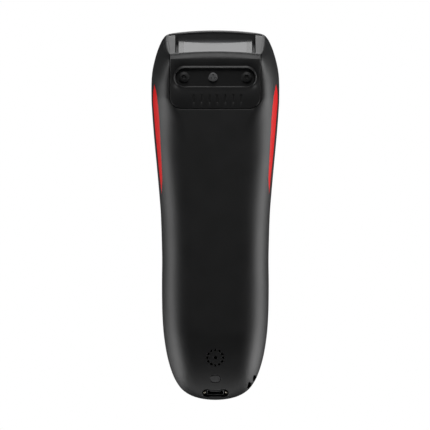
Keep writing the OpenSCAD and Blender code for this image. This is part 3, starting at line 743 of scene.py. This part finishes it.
def cover_cut():
    lv = [(o, d) for o, d in mouth(0.16, 0.28)]
    lv += [(0.28, 1.4)] + [(0.28 - 0.25 * float(ease((z - 1.6) / 2.2)) + strip_out(z), z) for z in [1.6, 2.1, 2.6, 3.2, 3.8] + list(np.linspace(4.5, 21, 14))] + [(0.03 + strip_out(21), 27.0)]
    return stack(cover_plan(0.0), lv, None, "cover_cut")


def port_outline(off, n=14):
    """Two round ends joined by a narrower waist."""
    r = 2.4 + off
    h = 2.05 + off
    a0 = math.asin(min(1, h / r))
    a = np.linspace(-(math.pi - a0), math.pi - a0, 2 * n)
    right = np.column_stack([3.4 + r * np.cos(a), r * np.sin(a)])
    return np.concatenate([right, -right])


def nose_fill(z0, z1):
    """Thicker wall beside the bezel strips, up to the leaning front face."""
    b = merged([box(k * 20.45 - 0.95, k * 20.45 + 0.95, -86, -69, z0, z1) for k in (-1, 1)])
    return boolean(b, [full_body(0.7, -75.97)], "INTERSECT")


def lower_housing():
    o = build_lower()
    fill = full_body(0.9)
    add = joined([box(-25, 25, -64.5, -44.1, 3.95, 5.3), box(-25, 25, -45.6, -44.1, 0.9, 4.2),
                  spun([(2.7, 0), (2.7, 11)], 48, 0, 70.6), box(-7.4, 7.4, -3.6, 3.6, -2, 4, PORT), box(13.2, 18.6, 68.2, 75.6, 6, 14)])
    add = boolean(add, [fill], "INTERSECT")
    o = boolean(o, [add], "UNION")
    o = boolean(o, [nose_fill(1.2, SEAM_Z - 0.06)], "UNION")
    first, second, third = [cover_cut()], [], []
    # speaker
    for cx, cy, r in [(0, 0, 0.8)] + [(3.45 * math.cos(math.radians(a)), 3.45 * math.sin(math.radians(a)), 0.6) for a in range(0, 360, 30)]:
        first.append(carve(disc(r, 24, cx, cy), mouth(0.07, 0, lift=0.6, n=5), belly_h, BUZZ, 1, [(0, 6.0)]))
    # oval well of the tail screw, with its seat
    first.append(carve(pill(0.75, 1.65, 24, cy=70.6), mouth(0.18, 0, lift=0.8), belly_h, IDENT, 1, [(0, 9.3)]))
    second.append(spun([(1.1, 8), (1.1, 14)], 40, 0, 70.6))
    third.append(spun([(1.95, 11.05), (1.95, 20)], 48, 0, 70.6))
    # port recess, pocket and contact holes
    first.append(carve(port_outline, mouth(0.28, 0, lift=1.6), belly_h, PORT, 1, [(0, 2.1), (-0.1, 2.2)]))
    second.append(box(-3.85, 3.85, -1.4, 1.4, 1, 7, PORT))
    for k in (-1, 1):
        third.append(spun([(0.65, 1), (0.65, 7)], 32, k * 4.72, 0, PORT))
    # lanyard slots and the tunnel between them
    for cx, cy, dx, dy, deg, group in ((16.85, 70.5, 1.15, 2.5, 8, first), (14.6, 73.6, 1.35, 2.7, 14, second)):
        m = Matrix.Translation(Vector((cx, cy, 0)) * MM) @ Matrix.Rotation(math.radians(deg), 4, "Z")
        group.append(carve(rect(-dx / 2, dx / 2, -dy / 2, dy / 2, 0.3, 6), mouth(0.1, 0, lift=1.5), belly_h, m, 1, [(0, 15.6)]))
    m = Matrix.Translation(Vector((15.7, 72.0, 14.5)) * MM) @ Matrix.Rotation(math.radians(36), 4, "Z")
    third.append(box(-0.65, 0.65, -2.5, 2.5, -1.2, 1.2, m))
    for side in (-1, 1):
        first.append(leaf_solid(side, 0.1, 2.5, 1.2 + FIT, 0.001, "pocket"))
    cuts = [merged(first), merged(second), merged(third)]
    return run_cuts(o, cuts)


def upper_housing():
    o = build_upper()
    fill = full_body(0.9)
    parts = [spun([(2.5, 5.45), (2.5, 35)], 48, k * 13.5, -59.4) for k in (-1, 1)]
    parts += [spun([(1.8, 11.15), (1.8, 31)], 40, 0, 70.6)]
    parts += [spun([(2.1, 16.25), (2.1, 36)], 40, k * 15.5, -44) for k in (-1, 1)]
    parts += [spun([(2.1, 16.25), (2.1, 36)], 40, k * 14, 54) for k in (-1, 1)]
    parts += [stack(pill(2.5, 2.0, 20, cy=-3), [(0, 18.5), (0, 36)])]
    add = joined(parts)
    add = boolean(add, [fill], "INTERSECT")
    o = boolean(o, [add], "UNION")
    o = boolean(o, [nose_fill(SEAM_Z + 0.06, 22.0)], "UNION")
    cuts = []
    for k in (-1, 1):
        cuts.append(spun([(1.07, 4), (1.07, 13)], 32, k * 13.5, -59.4))
        cuts.append(spun([(0.85, 15), (0.85, 21)], 24, k * 15.5, -44))
        cuts.append(spun([(0.85, 15), (0.85, 21)], 24, k * 14, 54))
    cuts.append(spun([(0.95, 10), (0.95, 15.5)], 32, 0, 70.6))
    hw = 20.18
    cuts.append(box(-hw, hw, -4, 6.6, 10, 23.42, NOSE))
    # trigger opening with a rounded edge, wider below the wall
    cuts.append(carve(pill(9, 10.35, 60, "y", flat_pts=20), mouth(0.35, 0, lift=2.5), top_h, TRIG, -1, [(0, -8)]))
    # status window
    cuts.append(carve(pill(2, 1.3, 24, cy=-3), mouth(0.15, 0, lift=1.0), top_h, IDENT, -1, [(0, 15)]))
    return run_cuts(o, [merged(cuts), stack(pill(9, 11.6, 60, "y"), [(0, -9.9), (0, -1.9)], TRIG)])


def merged(items, name="merged"):
    """Joins meshes that do not touch into one object."""
    bm = bmesh.new()
    for i in items:
        bm.from_mesh(i.data)
        bpy.data.objects.remove(i)
    me = bpy.data.meshes.new(name)
    bm.to_mesh(me)
    bm.free()
    o = bpy.data.objects.new(name, me)
    bpy.context.scene.collection.objects.link(o)
    return o


def run_cuts(o, cuts):
    for c in cuts:
        boolean(o, [c])
    return o


# ------------------------------------------------------------------ nose cover
def nose_to_world(ly, lz):
    c, q = math.cos(LEAN), math.sin(LEAN)
    return [-69.5 + ly * c - lz * q, ly * q + lz * c]


def cover_profile(x):
    r, cy = 4.0, -66.986
    b = x * x / 326
    p = [[-45.8, 0.0], [-52, 0.0], [-58, 0.0], [-63, 0.0]]
    for a in np.radians(np.linspace(270, 180 + 24.54, 16)):
        k = min(1.0, (math.radians(270) - a) / math.radians(25))
        p.append([cy + r * math.cos(a) + b * k, r + r * math.sin(a)])
    e0, e1 = nose_to_world(0, 2.6), nose_to_world(0, 22.45)
    for t in np.linspace(0, 1, 24)[1:]:
        p.append([e0[0] + (e1[0] - e0[0]) * t + b, e0[1] + (e1[1] - e0[1]) * t])
    p[-1][0] += 0.12
    p.append(nose_to_world(b + 0.25, 22.62))
    for lz in np.linspace(22.62, 2.7, 10):
        p.append(nose_to_world(5.2, lz))
    p += [[-64.8, 5.11], [-64.2, 3.85], [-64.2, 1.8], [-58, 1.8], [-52, 1.8], [-45.8, 1.8]]
    return np.array(p)


def nose_cover():
    o = sweep_x(cover_profile, np.linspace(-20.6, 20.6, 83), name="cover")
    r = 0.42
    a = np.radians(np.linspace(14, 90, 7))
    lv = [(-r + r * math.sin(t), r * (1 - math.cos(t))) for t in a]
    k = 1 / math.tan(math.radians(14))
    lv = [(lv[0][0] - k * (lv[0][1] + 0.05), -2.0), (lv[0][0] - k * (lv[0][1] + 0.05), -0.05)] + lv
    lv += [(0, 3.0)] + [(strip_out(z), z) for z in np.linspace(4, 21, 12)] + [(strip_out(21), 30.0)]
    plan = stack(cover_plan(0.0), lv, None, "plan")
    o = boolean(o, [plan], "INTERSECT")
    cup = stack(pill(13.1, 5.15, 30, cy=-59.15), [(0, 1.0), (0, 3.85)])
    o = boolean(o, [cup], "UNION")
    cuts = [bead_cut(), recess_cut()]
    cuts.append(merged([spun([(1.2, 1.0), (1.2, 8)], 40, k * 13.5, -59.4) for k in (-1, 1)] + [spun([(1.1, 1.0), (1.1, 8)], 40, -1, -59.3)]))
    # window opening, with a rounded mouth on the bowed face
    m = NOSE @ Matrix.Rotation(math.radians(90), 4, "X")
    lv = [(off, (lambda x, y, d=d: -(d + x * x / 326))) for off, d in mouth(0.22, 0, lift=1.5)]
    lv.append((0.0, -9.0))
    cuts.append(stack(rect(-17.3, 17.3, 2.6, 40, 0.5, 8), lv, m, "window_cut"))
    marks = []
    for i in range(-3, 4):
        marks.append(stack(pill(1.3, 0.45, 14, "y", cx=i * 3.4 + 0.9, cy=-50.15),
                           [(o2, d) for o2, d in mouth(0.04, 0, n=3)] + [(0, 0.34), (-0.08, 0.4)]))
    cuts.append(merged(marks))
    return run_cuts(o, cuts)


def recess_cut():
    """Long recess with a crisp mouth and a soft corner at its floor."""
    out = pill(13.1, 4.05, 34, cy=-59.15, flat_pts=28)
    return stack(out, mouth(0.12, 0, n=5) + [(0, 1.8), (-0.08, 2.05), (-0.3, 2.2)], None, "recess")


def ring_cut(outline, section, name="ring"):
    """Closed ring cutter: section(normal) gives (offset, z) points at each place of the outline."""
    p0, p1 = outline(0.0), outline(1.0)
    nrm = p1 - p0
    n = len(p0)
    secs = [section(nrm[j]) for j in range(n)]
    k = len(secs[0])
    v = [(p0[j][0] + nrm[j][0] * o, p0[j][1] + nrm[j][1] * o, z) for j in range(n) for o, z in secs[j]]
    f = [(j * k + i, j * k + (i + 1) % k, ((j + 1) % n) * k + (i + 1) % k, ((j + 1) % n) * k + i) for j in range(n) for i in range(k)]
    return fix(new_obj(name, v, f))


def bead_cut():
    """Shallow moat that leaves a raised bead round the recess; it fades out on the rear side."""
    def sec(nrm):
        d = (0.3 + 0.16 * abs(nrm[0])) * float(ease((1.02 - nrm[1]) / 0.5))
        d = max(d, 0.012)
        return [(0.22, -0.5), (0.22, -0.02), (0.34, 0.1 * d), (0.5, 0.42 * d), (0.75, 0.86 * d), (0.98, 1.0 * d), (1.25, 0.9 * d),
                (1.7, 0.5 * d), (2.2, 0.16 * d), (2.6, -0.02), (2.6, -0.5)]
    return ring_cut(pill(13.1, 4.05, 34, cy=-59.15, flat_pts=28), sec, "bead")


# ------------------------------------------------------------------ red side inserts
def flank_x(y, z):
    y, z = np.asarray(y, float), np.asarray(z, float)
    s = y.copy()
    for _ in range(14):
        w, f, zb, zw = half_w(s), flat_w(s), belly_z(s), wide_z(s)
        u = np.clip((zw - z) / (zw - zb), 0, 1)
        n = 2 / c_full(np.clip(s, -80, 80))
        x = f + (w - f) * (1 - u**n) ** (1 / n)
        s = y - bow(s) * x * x - lean(s) * (RIM_Z - z)
    return x


def on_flank(s, x):
    w, f = float(half_w(s)), float(flat_w(s))
    u = min(1, (x - f) / (w - f))
    n = 2 / float(c_full(s))
    return SEAM_Z - SEAM_Z * max(0, 1 - u**n) ** (1 / n)


LEAF_LOW = [(-53, 25.6), (-50.5, 25.1), (-48, 24.8), (-42, 24.3), (-35, 23.9), (-27, 23.5), (-17, 23)]
LEAF_HIGH = [(-54, 9.6), (-51, 10.3), (-47, 10.7), (-40, 10.5), (-30, 9.8), (-20, 9.3), (-14, 9.1)]
leaf_lo = Curve([(-56.3, 8.2)] + [(a, on_flank(a, b)) for a, b in LEAF_LOW] + [(-9, 8.6)])
leaf_hi = Curve([(-56.3, 8.2)] + LEAF_HIGH + [(-9, 8.6)])


def leaf_solid(side, grow, outside, depth, r, name):
    """Solid that follows the flank inside the leaf outline; outside > 0 makes a cutter that stands proud."""
    ya, yb = -56.3 - 2.2 * grow, -9 + 2.2 * grow
    u = 0.5 - 0.5 * np.cos(np.linspace(0, math.pi, 110))
    u = 0.35 * u + 0.65 * np.linspace(0, 1, 110)
    ys = ya + (yb - ya) * u
    ys[0], ys[-1] = ya + 0.02, yb - 0.02
    rings = []
    for y in ys:
        yc = -56.3 + (y - ya) / (yb - ya) * 47.3
        lo_, hi_ = float(leaf_lo(yc)) - grow, float(leaf_hi(yc)) + grow
        tip = min(y - ya, yb - y)
        h = hi_ - lo_
        if h < 0.06:
            lo_, hi_ = (lo_ + hi_) / 2 - 0.03, (lo_ + hi_) / 2 + 0.03
            h = 0.06
        rr = min(r, 0.45 * h)
        b = np.linspace(0, math.pi / 2, 6)
        e = rr * (1 - np.cos(b))
        v = np.concatenate([lo_ + e, np.linspace(lo_ + rr, hi_ - rr, 26)[1:-1], (hi_ - e)[::-1]])
        dz = np.minimum(v - lo_, hi_ - v)
        drop = np.where(dz < rr, rr - np.sqrt(np.maximum(0, rr * rr - (rr - dz) ** 2)), 0)
        if tip < rr:
            drop = drop + (rr - math.sqrt(max(0, rr * rr - (rr - tip) ** 2)))
        x = flank_x(np.full_like(v, y), v)
        xo = x + outside - drop
        xi = x - depth
        ring = np.concatenate([np.column_stack([side * xo, np.full_like(v, y), v]),
                               np.column_stack([side * xi, np.full_like(v, y), v])[::-1]])
        rings.append(ring)
    return grid(rings, True, "c", name)


# ------------------------------------------------------------------ trigger
def trigger_top(x, y):
    """Top of the key in its own frame: crowned across, a shallow finger dish, three low grip ridges."""
    z = 0.9 - x * x / 180
    z = z - 0.42 * np.exp(-((y + 3) / 9.5) ** 4 - (x / 7.0) ** 4)
    for c in (-6.2, -3.0, 0.2):
        z = z + 0.24 * np.exp(-((y - c) / 0.5) ** 2) * np.exp(-(x / 5.2) ** 6)
    return z


def pill_rings(half, rr, n=56, m=60):
    return pill(half, rr, n, "y", flat_pts=m)


def trigger_key():
    out = pill_rings(9, 10)
    r = 0.7
    lv = [(1.1, -3.5), (1.1, -2.45), (0.95, -2.3), (0.0, -2.3), (0.0, -1.0)]
    for t in np.linspace(0, math.pi / 2, 8):
        off = -r * (1 - math.cos(t))
        lv.append((off, lambda x, y, t=t: trigger_top(x, y) - r * (1 - math.sin(t))))
    for off in list(np.linspace(-r, -9.9, 50)[1:]):
        lv.append((float(off), trigger_top))
    o = stack(out, lv, TRIG, "trigger_key")
    add = [box(k * 6.9 - 0.9, k * 6.9 + 0.9, -51.9, -48.1, 22.5, 25.9) for k in (-1, 1)]
    mx = Matrix.Rotation(math.radians(90), 4, "Y")
    for k in (-1, 1):
        m = Matrix.Translation(Vector((k * 6.9 - 0.9, -50, 22.5)) * MM) @ mx
        add.append(stack(disc(1.9, 48), [(0, 0), (0, 1.8)], m))
    add.append(spun([(1.3, 21.03), (1.5, 21.25), (1.5, 25)], 40, 0, -38))
    for a in add:
        o = boolean(o, [a], "UNION")
    m = Matrix.Translation(Vector((-12, -50, 22.5)) * MM) @ mx
    return boolean(o, [stack(disc(0.79, 48), [(0, 0), (0, 24)], m)])


# ------------------------------------------------------------------ fasteners and small pieces
def head_levels(rad, z0, z1, r, dome=0.0):
    """Screw head from its bearing face z1 up (towards -Z) to its top z0, rounded by r."""
    lv = [(rad - 0.06, z1), (rad, z1 - 0.06), (rad, z0 + r + dome)]
    for t in np.linspace(0, math.pi / 2, 7)[1:]:
        lv.append((rad - r * (1 - math.cos(t)), z0 + dome + r * (1 - math.sin(t))))
    for k in (0.75, 0.5, 0.25, 0.02):
        q = (rad - r) * k
        lv.append((q, z0 + dome * (q / (rad - r)) ** 2))
    return lv


def lobe_cut(cx, cy, z0, depth, rad):
    """Six-lobe drive recess."""
    a = np.linspace(0, 2 * math.pi, 96, endpoint=False)

    def f(off):
        q = rad * (1 + 0.13 * np.cos(6 * a)) + off
        return np.column_stack([cx + q * np.cos(a), cy + q * np.sin(a)])
    return stack(f, [(0.12, z0 - 0.5), (0.12, z0 - 0.01), (0.04, z0 + 0.06), (0.0, z0 + 0.16), (-0.03, z0 + depth * 0.8), (-0.3, z0 + depth)])


def screw(cx, cy, z0, z1, rad, shank, length, dome=0.25, flip=False):
    o = spun(head_levels(rad, z0, z1, 0.22, dome), 64, cx, cy)
    sh = spun([(shank, z1 - 0.3), (shank, z1 + length - 0.5), (shank * 0.6, z1 + length)], 32, cx, cy)
    o = boolean(o, [sh], "UNION")
    return boolean(o, [lobe_cut(cx, cy, z0, 0.85, rad * 0.42)])


def security_screw():
    cx, cy = -1.0, -59.3
    a = np.linspace(0, 2 * math.pi, 72, endpoint=False)

    def lobes(r):
        q = r * (1 + 0.035 * np.cos(3 * (a + math.pi / 2)))
        return np.column_stack([cx + q * np.cos(a), cy + q * np.sin(a)])
    o = stack(lobes, [(1.9, 2.18), (1.95, 2.12), (1.95, 1.1), (1.92, 0.99), (1.84, 0.92), (1.72, 0.9), (1.2, 0.88), (0.5, 0.88), (0.02, 0.88)])
    o = boolean(o, [spun([(0.9, 2.0), (0.9, 5.2)], 32, cx, cy)], "UNION")
    holes = []
    for i in range(3):
        a = math.radians(i * 120 - 90)
        holes.append(spun([(0.36, 0.6), (0.36, 0.88), (0.3, 0.96), (0.3, 1.5), (0.02, 1.62)], 24, cx + 0.95 * math.cos(a), cy + 0.95 * math.sin(a)))
    return boolean(o, [merged(holes)])


def screw_plug():
    h = local_surface(IDENT, belly_h)
    out = pill(0.75, 1.5, 40, cy=70.6, flat_pts=8)
    lv = [(0.0, 7.9)]
    r = 0.3
    lv.append((0.0, lambda x, y: h(x, y) + 0.12 + r))
    for t in np.linspace(0, math.pi / 2, 7)[1:]:
        lv.append((-r * (1 - math.cos(t)), lambda x, y, t=t: h(x, y) + 0.12 + r * (1 - math.sin(t))))
    for off in (-0.5, -0.8, -1.1, -1.3, -1.45):
        lv.append((off, lambda x, y, off=off: h(x, y) + 0.12 - 0.16 * (1 - ((1.5 + off) / 1.2) ** 2)))
    return stack(out, lv, None, "plug")


def port_mouth(w, h, r):
    return rect(-w / 2, w / 2, -h / 2, h / 2, r, 8)


def charging_port():
    out, inn = port_mouth(7.5, 2.6, 0.75), port_mouth(6.86, 1.9, 0.5)
    o = stack(out, [(-0.08, 0.9), (0.0, 1.02), (0, 6.3)], PORT, "port")
    o = boolean(o, [stack(inn, [(0.2, 0.4), (0.2, 0.88), (0.06, 0.96), (0.0, 1.15), (0, 5.6)], PORT)])
    t = stack(rect(-2.4, 2.4, -0.35, 0.35, 0.12, 5), [(-0.1, 1.7), (0.0, 1.85), (0, 6.0)], PORT)
    o = boolean(o, [t], "UNION")
    ribs = [stack(rect(-1.6 + i * 0.8 - 0.2, -1.6 + i * 0.8 + 0.2, -0.42, -0.3, 0.03, 3), [(0, 2.0), (0, 5.7)], PORT) for i in range(5)]
    return boolean(o, [merged(ribs)], "UNION")


def charging_contacts():
    items = []
    for k in (-1, 1):
        items.append(stack(disc(0.0, 40, k * 4.72, 0), [(0.03, 0.6), (0.25, 0.63), (0.42, 0.72), (0.52, 0.86), (0.55, 1.05), (0.55, 6.7)], PORT))
    return merged(items)


def scan_window():
    """Pane with a masked border: the border faces carry the second material."""
    m = NOSE @ Matrix.Rotation(math.radians(90), 4, "X")
    y0, y1 = 2.64, 4.14
    outer = rect(-16, 16, 3.0, 22.4, 0.8, 8)
    inner = rect(-13.5, 13.5, 5.4, 20.0, 0.6, 8)
    lv = [("i", 0, y1), ("o", -0.1, y1), ("o", 0, y1 - 0.1), ("o", 0, y0 + 0.18), ("o", -0.05, y0 + 0.06), ("o", -0.2, y0), ("i", 0, y0)]
    rings = []
    for k, off, y in lv:
        p = (outer if k == "o" else inner)(off)
        rings.append(np.column_stack([p, np.full(len(p), -y)]))
    n = len(rings[0])
    v = np.concatenate(rings)
    f = [(i * n + j, i * n + (j + 1) % n, (i + 1) * n + (j + 1) % n, (i + 1) * n + j) for i in range(len(rings) - 1) for j in range(n)]
    nb = len(f)
    f += [tuple(range(n))[::-1], tuple((len(rings) - 1) * n + j for j in range(n))]
    o = new_obj("pane", v, f)
    o.data.transform(m)
    o.data.polygons.foreach_set("material_index", [1] * nb + [0, 0])
    bm = bmesh.new(); bm.from_mesh(o.data); bmesh.ops.recalc_face_normals(bm, faces=bm.faces); bm.to_mesh(o.data); bm.free()
    return o


def window_frame():
    m = NOSE @ Matrix.Rotation(math.radians(90), 4, "X")
    o = stack(rect(-17.1, 17.1, 2.8, 22.9, 0.6), [(0, -4.2), (0, -5.3)], m)
    o = boolean(o, [stack(rect(-18.6, 18.6, 2.8, 22.9, 0.6), [(0, -5.28), (0, -6.48)], m)], "UNION")
    return boolean(o, [stack(rect(-13.6, 13.6, 5.2, 20.0, 0.8), [(0.25, -3.5), (0.25, -4.2), (0.0, -4.5), (0, -12)], m)])


def status_lens():
    out = pill(2, 1.2, 30, cy=-3, flat_pts=16)
    top = lambda x, y: 25.25 - 120 + np.sqrt(120**2 - x * x - (y + 3) ** 2)
    lv = [(0, 18.2), (0, 24.6)]
    r = 0.25
    for t in np.linspace(0, math.pi / 2, 6):
        lv.append((-r * (1 - math.cos(t)), lambda x, y, t=t: top(x, y) - r * (1 - math.sin(t))))
    for off in (-0.5, -0.8, -1.1):
        lv.append((off, top))
    return stack(out, lv, None, "status_lens")




# ------------------------------------------------------------------ build
dress(lower_housing(), M_BODY, "case", ["lower_housing"])
# painted light: a lighter grey copy of the black shell plastic that stands in for light on the hood's inner underside,
# which the lamps hardly reach
M_HOOD_PAINTED_LIGHT = plastic("hood_painted_light", (0.07, 0.07, 0.071), rough=0.5, grain=0.5, scale=4200, bump=0.04)
top = upper_housing()
dress(top, M_UPPER, "case", ["upper_housing"])
top.data.materials.append(M_HOOD_PAINTED_LIGHT)
# the downward-facing inner faces of the hood inside the nose get the painted-light grey
for q in top.data.polygons:
    c = q.center / MM
    if c.y < -74.5 and c.z > 19 and q.normal.z < -0.3 and q.normal.y > -0.1:
        q.material_index = 1
dress(nose_cover(), M_COVER, "case", ["nose_cover"])
for side, nm in ((-1, "side_insert_left"), (1, "side_insert_right")):
    dress(leaf_solid(side, 0.0, -0.02, 1.2, 0.3, nm + "_skin"), M_RED, "case", [nm])
dress(trigger_key(), M_BODY, "trigger_key", ["trigger"])
sc = merged([screw(k * 13.5, -59.4, 0.6, 2.18, 2.25, 1.0, 9.5) for k in (-1, 1)])
dress(sc, M_BODY, "case", ["nose_screws"])
M_NICKEL = metal("nickel", (0.17, 0.17, 0.172), 0.5)
dress(security_screw(), M_NICKEL, "case", ["security_screw"])
M_RUBBER = plastic("plug_rubber", (0.03, 0.03, 0.031), 0.7, 0.3, mottled=0.1)
dress(screw_plug(), M_RUBBER, "case", ["screw_plug"])
# painted shade: the port's steel shell is made much darker than plated steel to stand for the shadow inside the port
# recess
M_STEEL_PAINTED_SHADE = metal("steel", (0.12, 0.12, 0.12), 0.4, True)
dress(charging_port(), M_STEEL_PAINTED_SHADE, "case", ["charging_port"])
M_GOLD = metal("gold", (0.34, 0.31, 0.25), 0.3)
dress(charging_contacts(), M_GOLD, "case", ["charging_contacts"])
pane = scan_window()
# the pane's mid-grey base is part the window's own tint, part painted reflection: it is raised to give the brightness
# that reflected light gives the window; the status lens shares it
M_PANE_PAINTED_REFLECTION = plastic("pane", (0.082, 0.082, 0.085), 0.1, 0.02, mottled=0.03)
M_MASK = plastic("mask", (0.04, 0.04, 0.041), 0.2, 0.05, mottled=0.03)
dress(pane, M_PANE_PAINTED_REFLECTION, "case", ["scan_window"], sharp=0)
pane.data.materials.append(M_MASK)
pane.data.polygons.foreach_set("material_index", [0 if p.index >= len(pane.data.polygons) - 2 else 1 for p in pane.data.polygons])
dress(window_frame(), M_BODY, "case", ["window_frame"])
dress(status_lens(), M_PANE_PAINTED_REFLECTION, "case", ["status_lens"])


# ------------------------------------------------------------------ finishes of the pieces inside
def board(name):
    """Solder mask with copper tracks and vias showing through."""
    m, nt, out = nodes_of(name)
    N, L = nt.nodes.new, nt.links.new
    p = N("ShaderNodeBsdfPrincipled"); tc = N("ShaderNodeTexCoord")
    vo = N("ShaderNodeTexVoronoi"); vo.feature = "DISTANCE_TO_EDGE"; vo.distance = "EUCLIDEAN"; vo.inputs["Scale"].default_value = 420
    L(tc.outputs["Object"], vo.inputs["Vector"])
    cr = N("ShaderNodeMapRange"); cr.inputs["From Min"].default_value = 0.03; cr.inputs["From Max"].default_value = 0.07
    L(vo.outputs["Distance"], cr.inputs["Value"])
    mix = N("ShaderNodeMix"); mix.data_type = "RGBA"
    mix.inputs["A"].default_value = (0.03, 0.2, 0.07, 1); mix.inputs["B"].default_value = (0.008, 0.085, 0.03, 1)
    L(cr.outputs["Result"], mix.inputs["Factor"]); L(mix.outputs["Result"], p.inputs["Base Color"])
    b = N("ShaderNodeBump"); b.inputs["Strength"].default_value = 0.3; b.inputs["Distance"].default_value = 0.03 * MM
    L(cr.outputs["Result"], b.inputs["Height"]); L(b.outputs["Normal"], p.inputs["Normal"])
    p.inputs["Roughness"].default_value = 0.32
    L(p.outputs["BSDF"], out.inputs["Surface"])
    return m


INSIDE = {
    "pin_steel": metal("pin_steel", (0.45, 0.455, 0.47), 0.25, True),
    "bracket_plastic": plastic("bracket_plastic", (0.05, 0.05, 0.054), 0.5, 0.3, 3000),
    "switch_plastic": plastic("switch_plastic", (0.022, 0.022, 0.024), 0.42, 0.3, 4000),
    "plated_steel": metal("plated_steel", (0.5, 0.51, 0.52), 0.28),
    "light_white": plastic("light_white", (0.75, 0.75, 0.66), 0.3, 0.1, 3000, mottled=0.04),
    "board_green": board("board_green"),
    "engine_body": plastic("engine_body", (0.03, 0.03, 0.033), 0.38, 0.4, 6000),
    "lens_dark": plastic("lens_dark", (0.012, 0.014, 0.03), 0.06, 0.02, 2000, spec=0.8, coat=0.6, mottled=0.05),
    "lens_red": plastic("lens_red", (0.3, 0.012, 0.012), 0.08, 0.02, 2000, spec=0.7, mottled=0.05),
    "flex_amber": plastic("flex_amber", (0.5, 0.22, 0.03), 0.25, 0.2, 2500, spec=0.6, mottled=0.1),
    "connector_cream": plastic("connector_cream", (0.72, 0.66, 0.5), 0.45, 0.25, 3500, mottled=0.06),
    "cell_blue": plastic("cell_blue", (0.02, 0.075, 0.28), 0.28, 0.3, 500, bump=0.2, mottled=0.15),
    "foam_grey": plastic("foam_grey", (0.11, 0.113, 0.118), 0.85, 0.8, 1600, bump=0.3, spec=0.2, mottled=0.25),
    "lead_insulation": plastic("lead_insulation", (0.4, 0.02, 0.015), 0.45, 0.2, 3500, mottled=0.08),
}


def switch_dome():
    """Snap dome: thin skirt, sloped wall and a flattened crown."""
    lo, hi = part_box("switch_dome")
    cx, cy, z0, z1 = (lo.x + hi.x) / 2 / MM, (lo.y + hi.y) / 2 / MM, lo.z / MM, hi.z / MM
    o = spun([(2.0, z0), (2.1, z0 + 0.06), (2.1, z0 + 0.2), (1.98, z0 + 0.34), (1.7, z0 + 0.62), (1.3, z0 + 0.9), (0.9, z1 - 0.12),
              (0.62, z1 - 0.04), (0.4, z1 - 0.01), (0.02, z1)], 48, cx, cy)
    return o, (cx * MM, cy * MM, z0 * MM)


dome, foot = switch_dome()
dress(dome, INSIDE["plated_steel"], "case", ["switch_dome"])
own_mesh(dome)
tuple(foot)
stood = set()
for o in list(bpy.context.scene.objects):
    stood |= set(o.get("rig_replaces", []))
slot_of = {q["node"]: q["material_slot"] for q in frame["record"]["subparts"]}
for n, o in frame["nodes"].items():
    if n in stood:
        continue
    m = INSIDE.get(slot_of.get(n, ""), INSIDE["switch_plastic"])
    for i in range(max(1, len(o.material_slots))):
        if len(o.data.materials) <= i:
            o.data.materials.append(m)
        else:
            o.material_slots[i].material = m

studio()
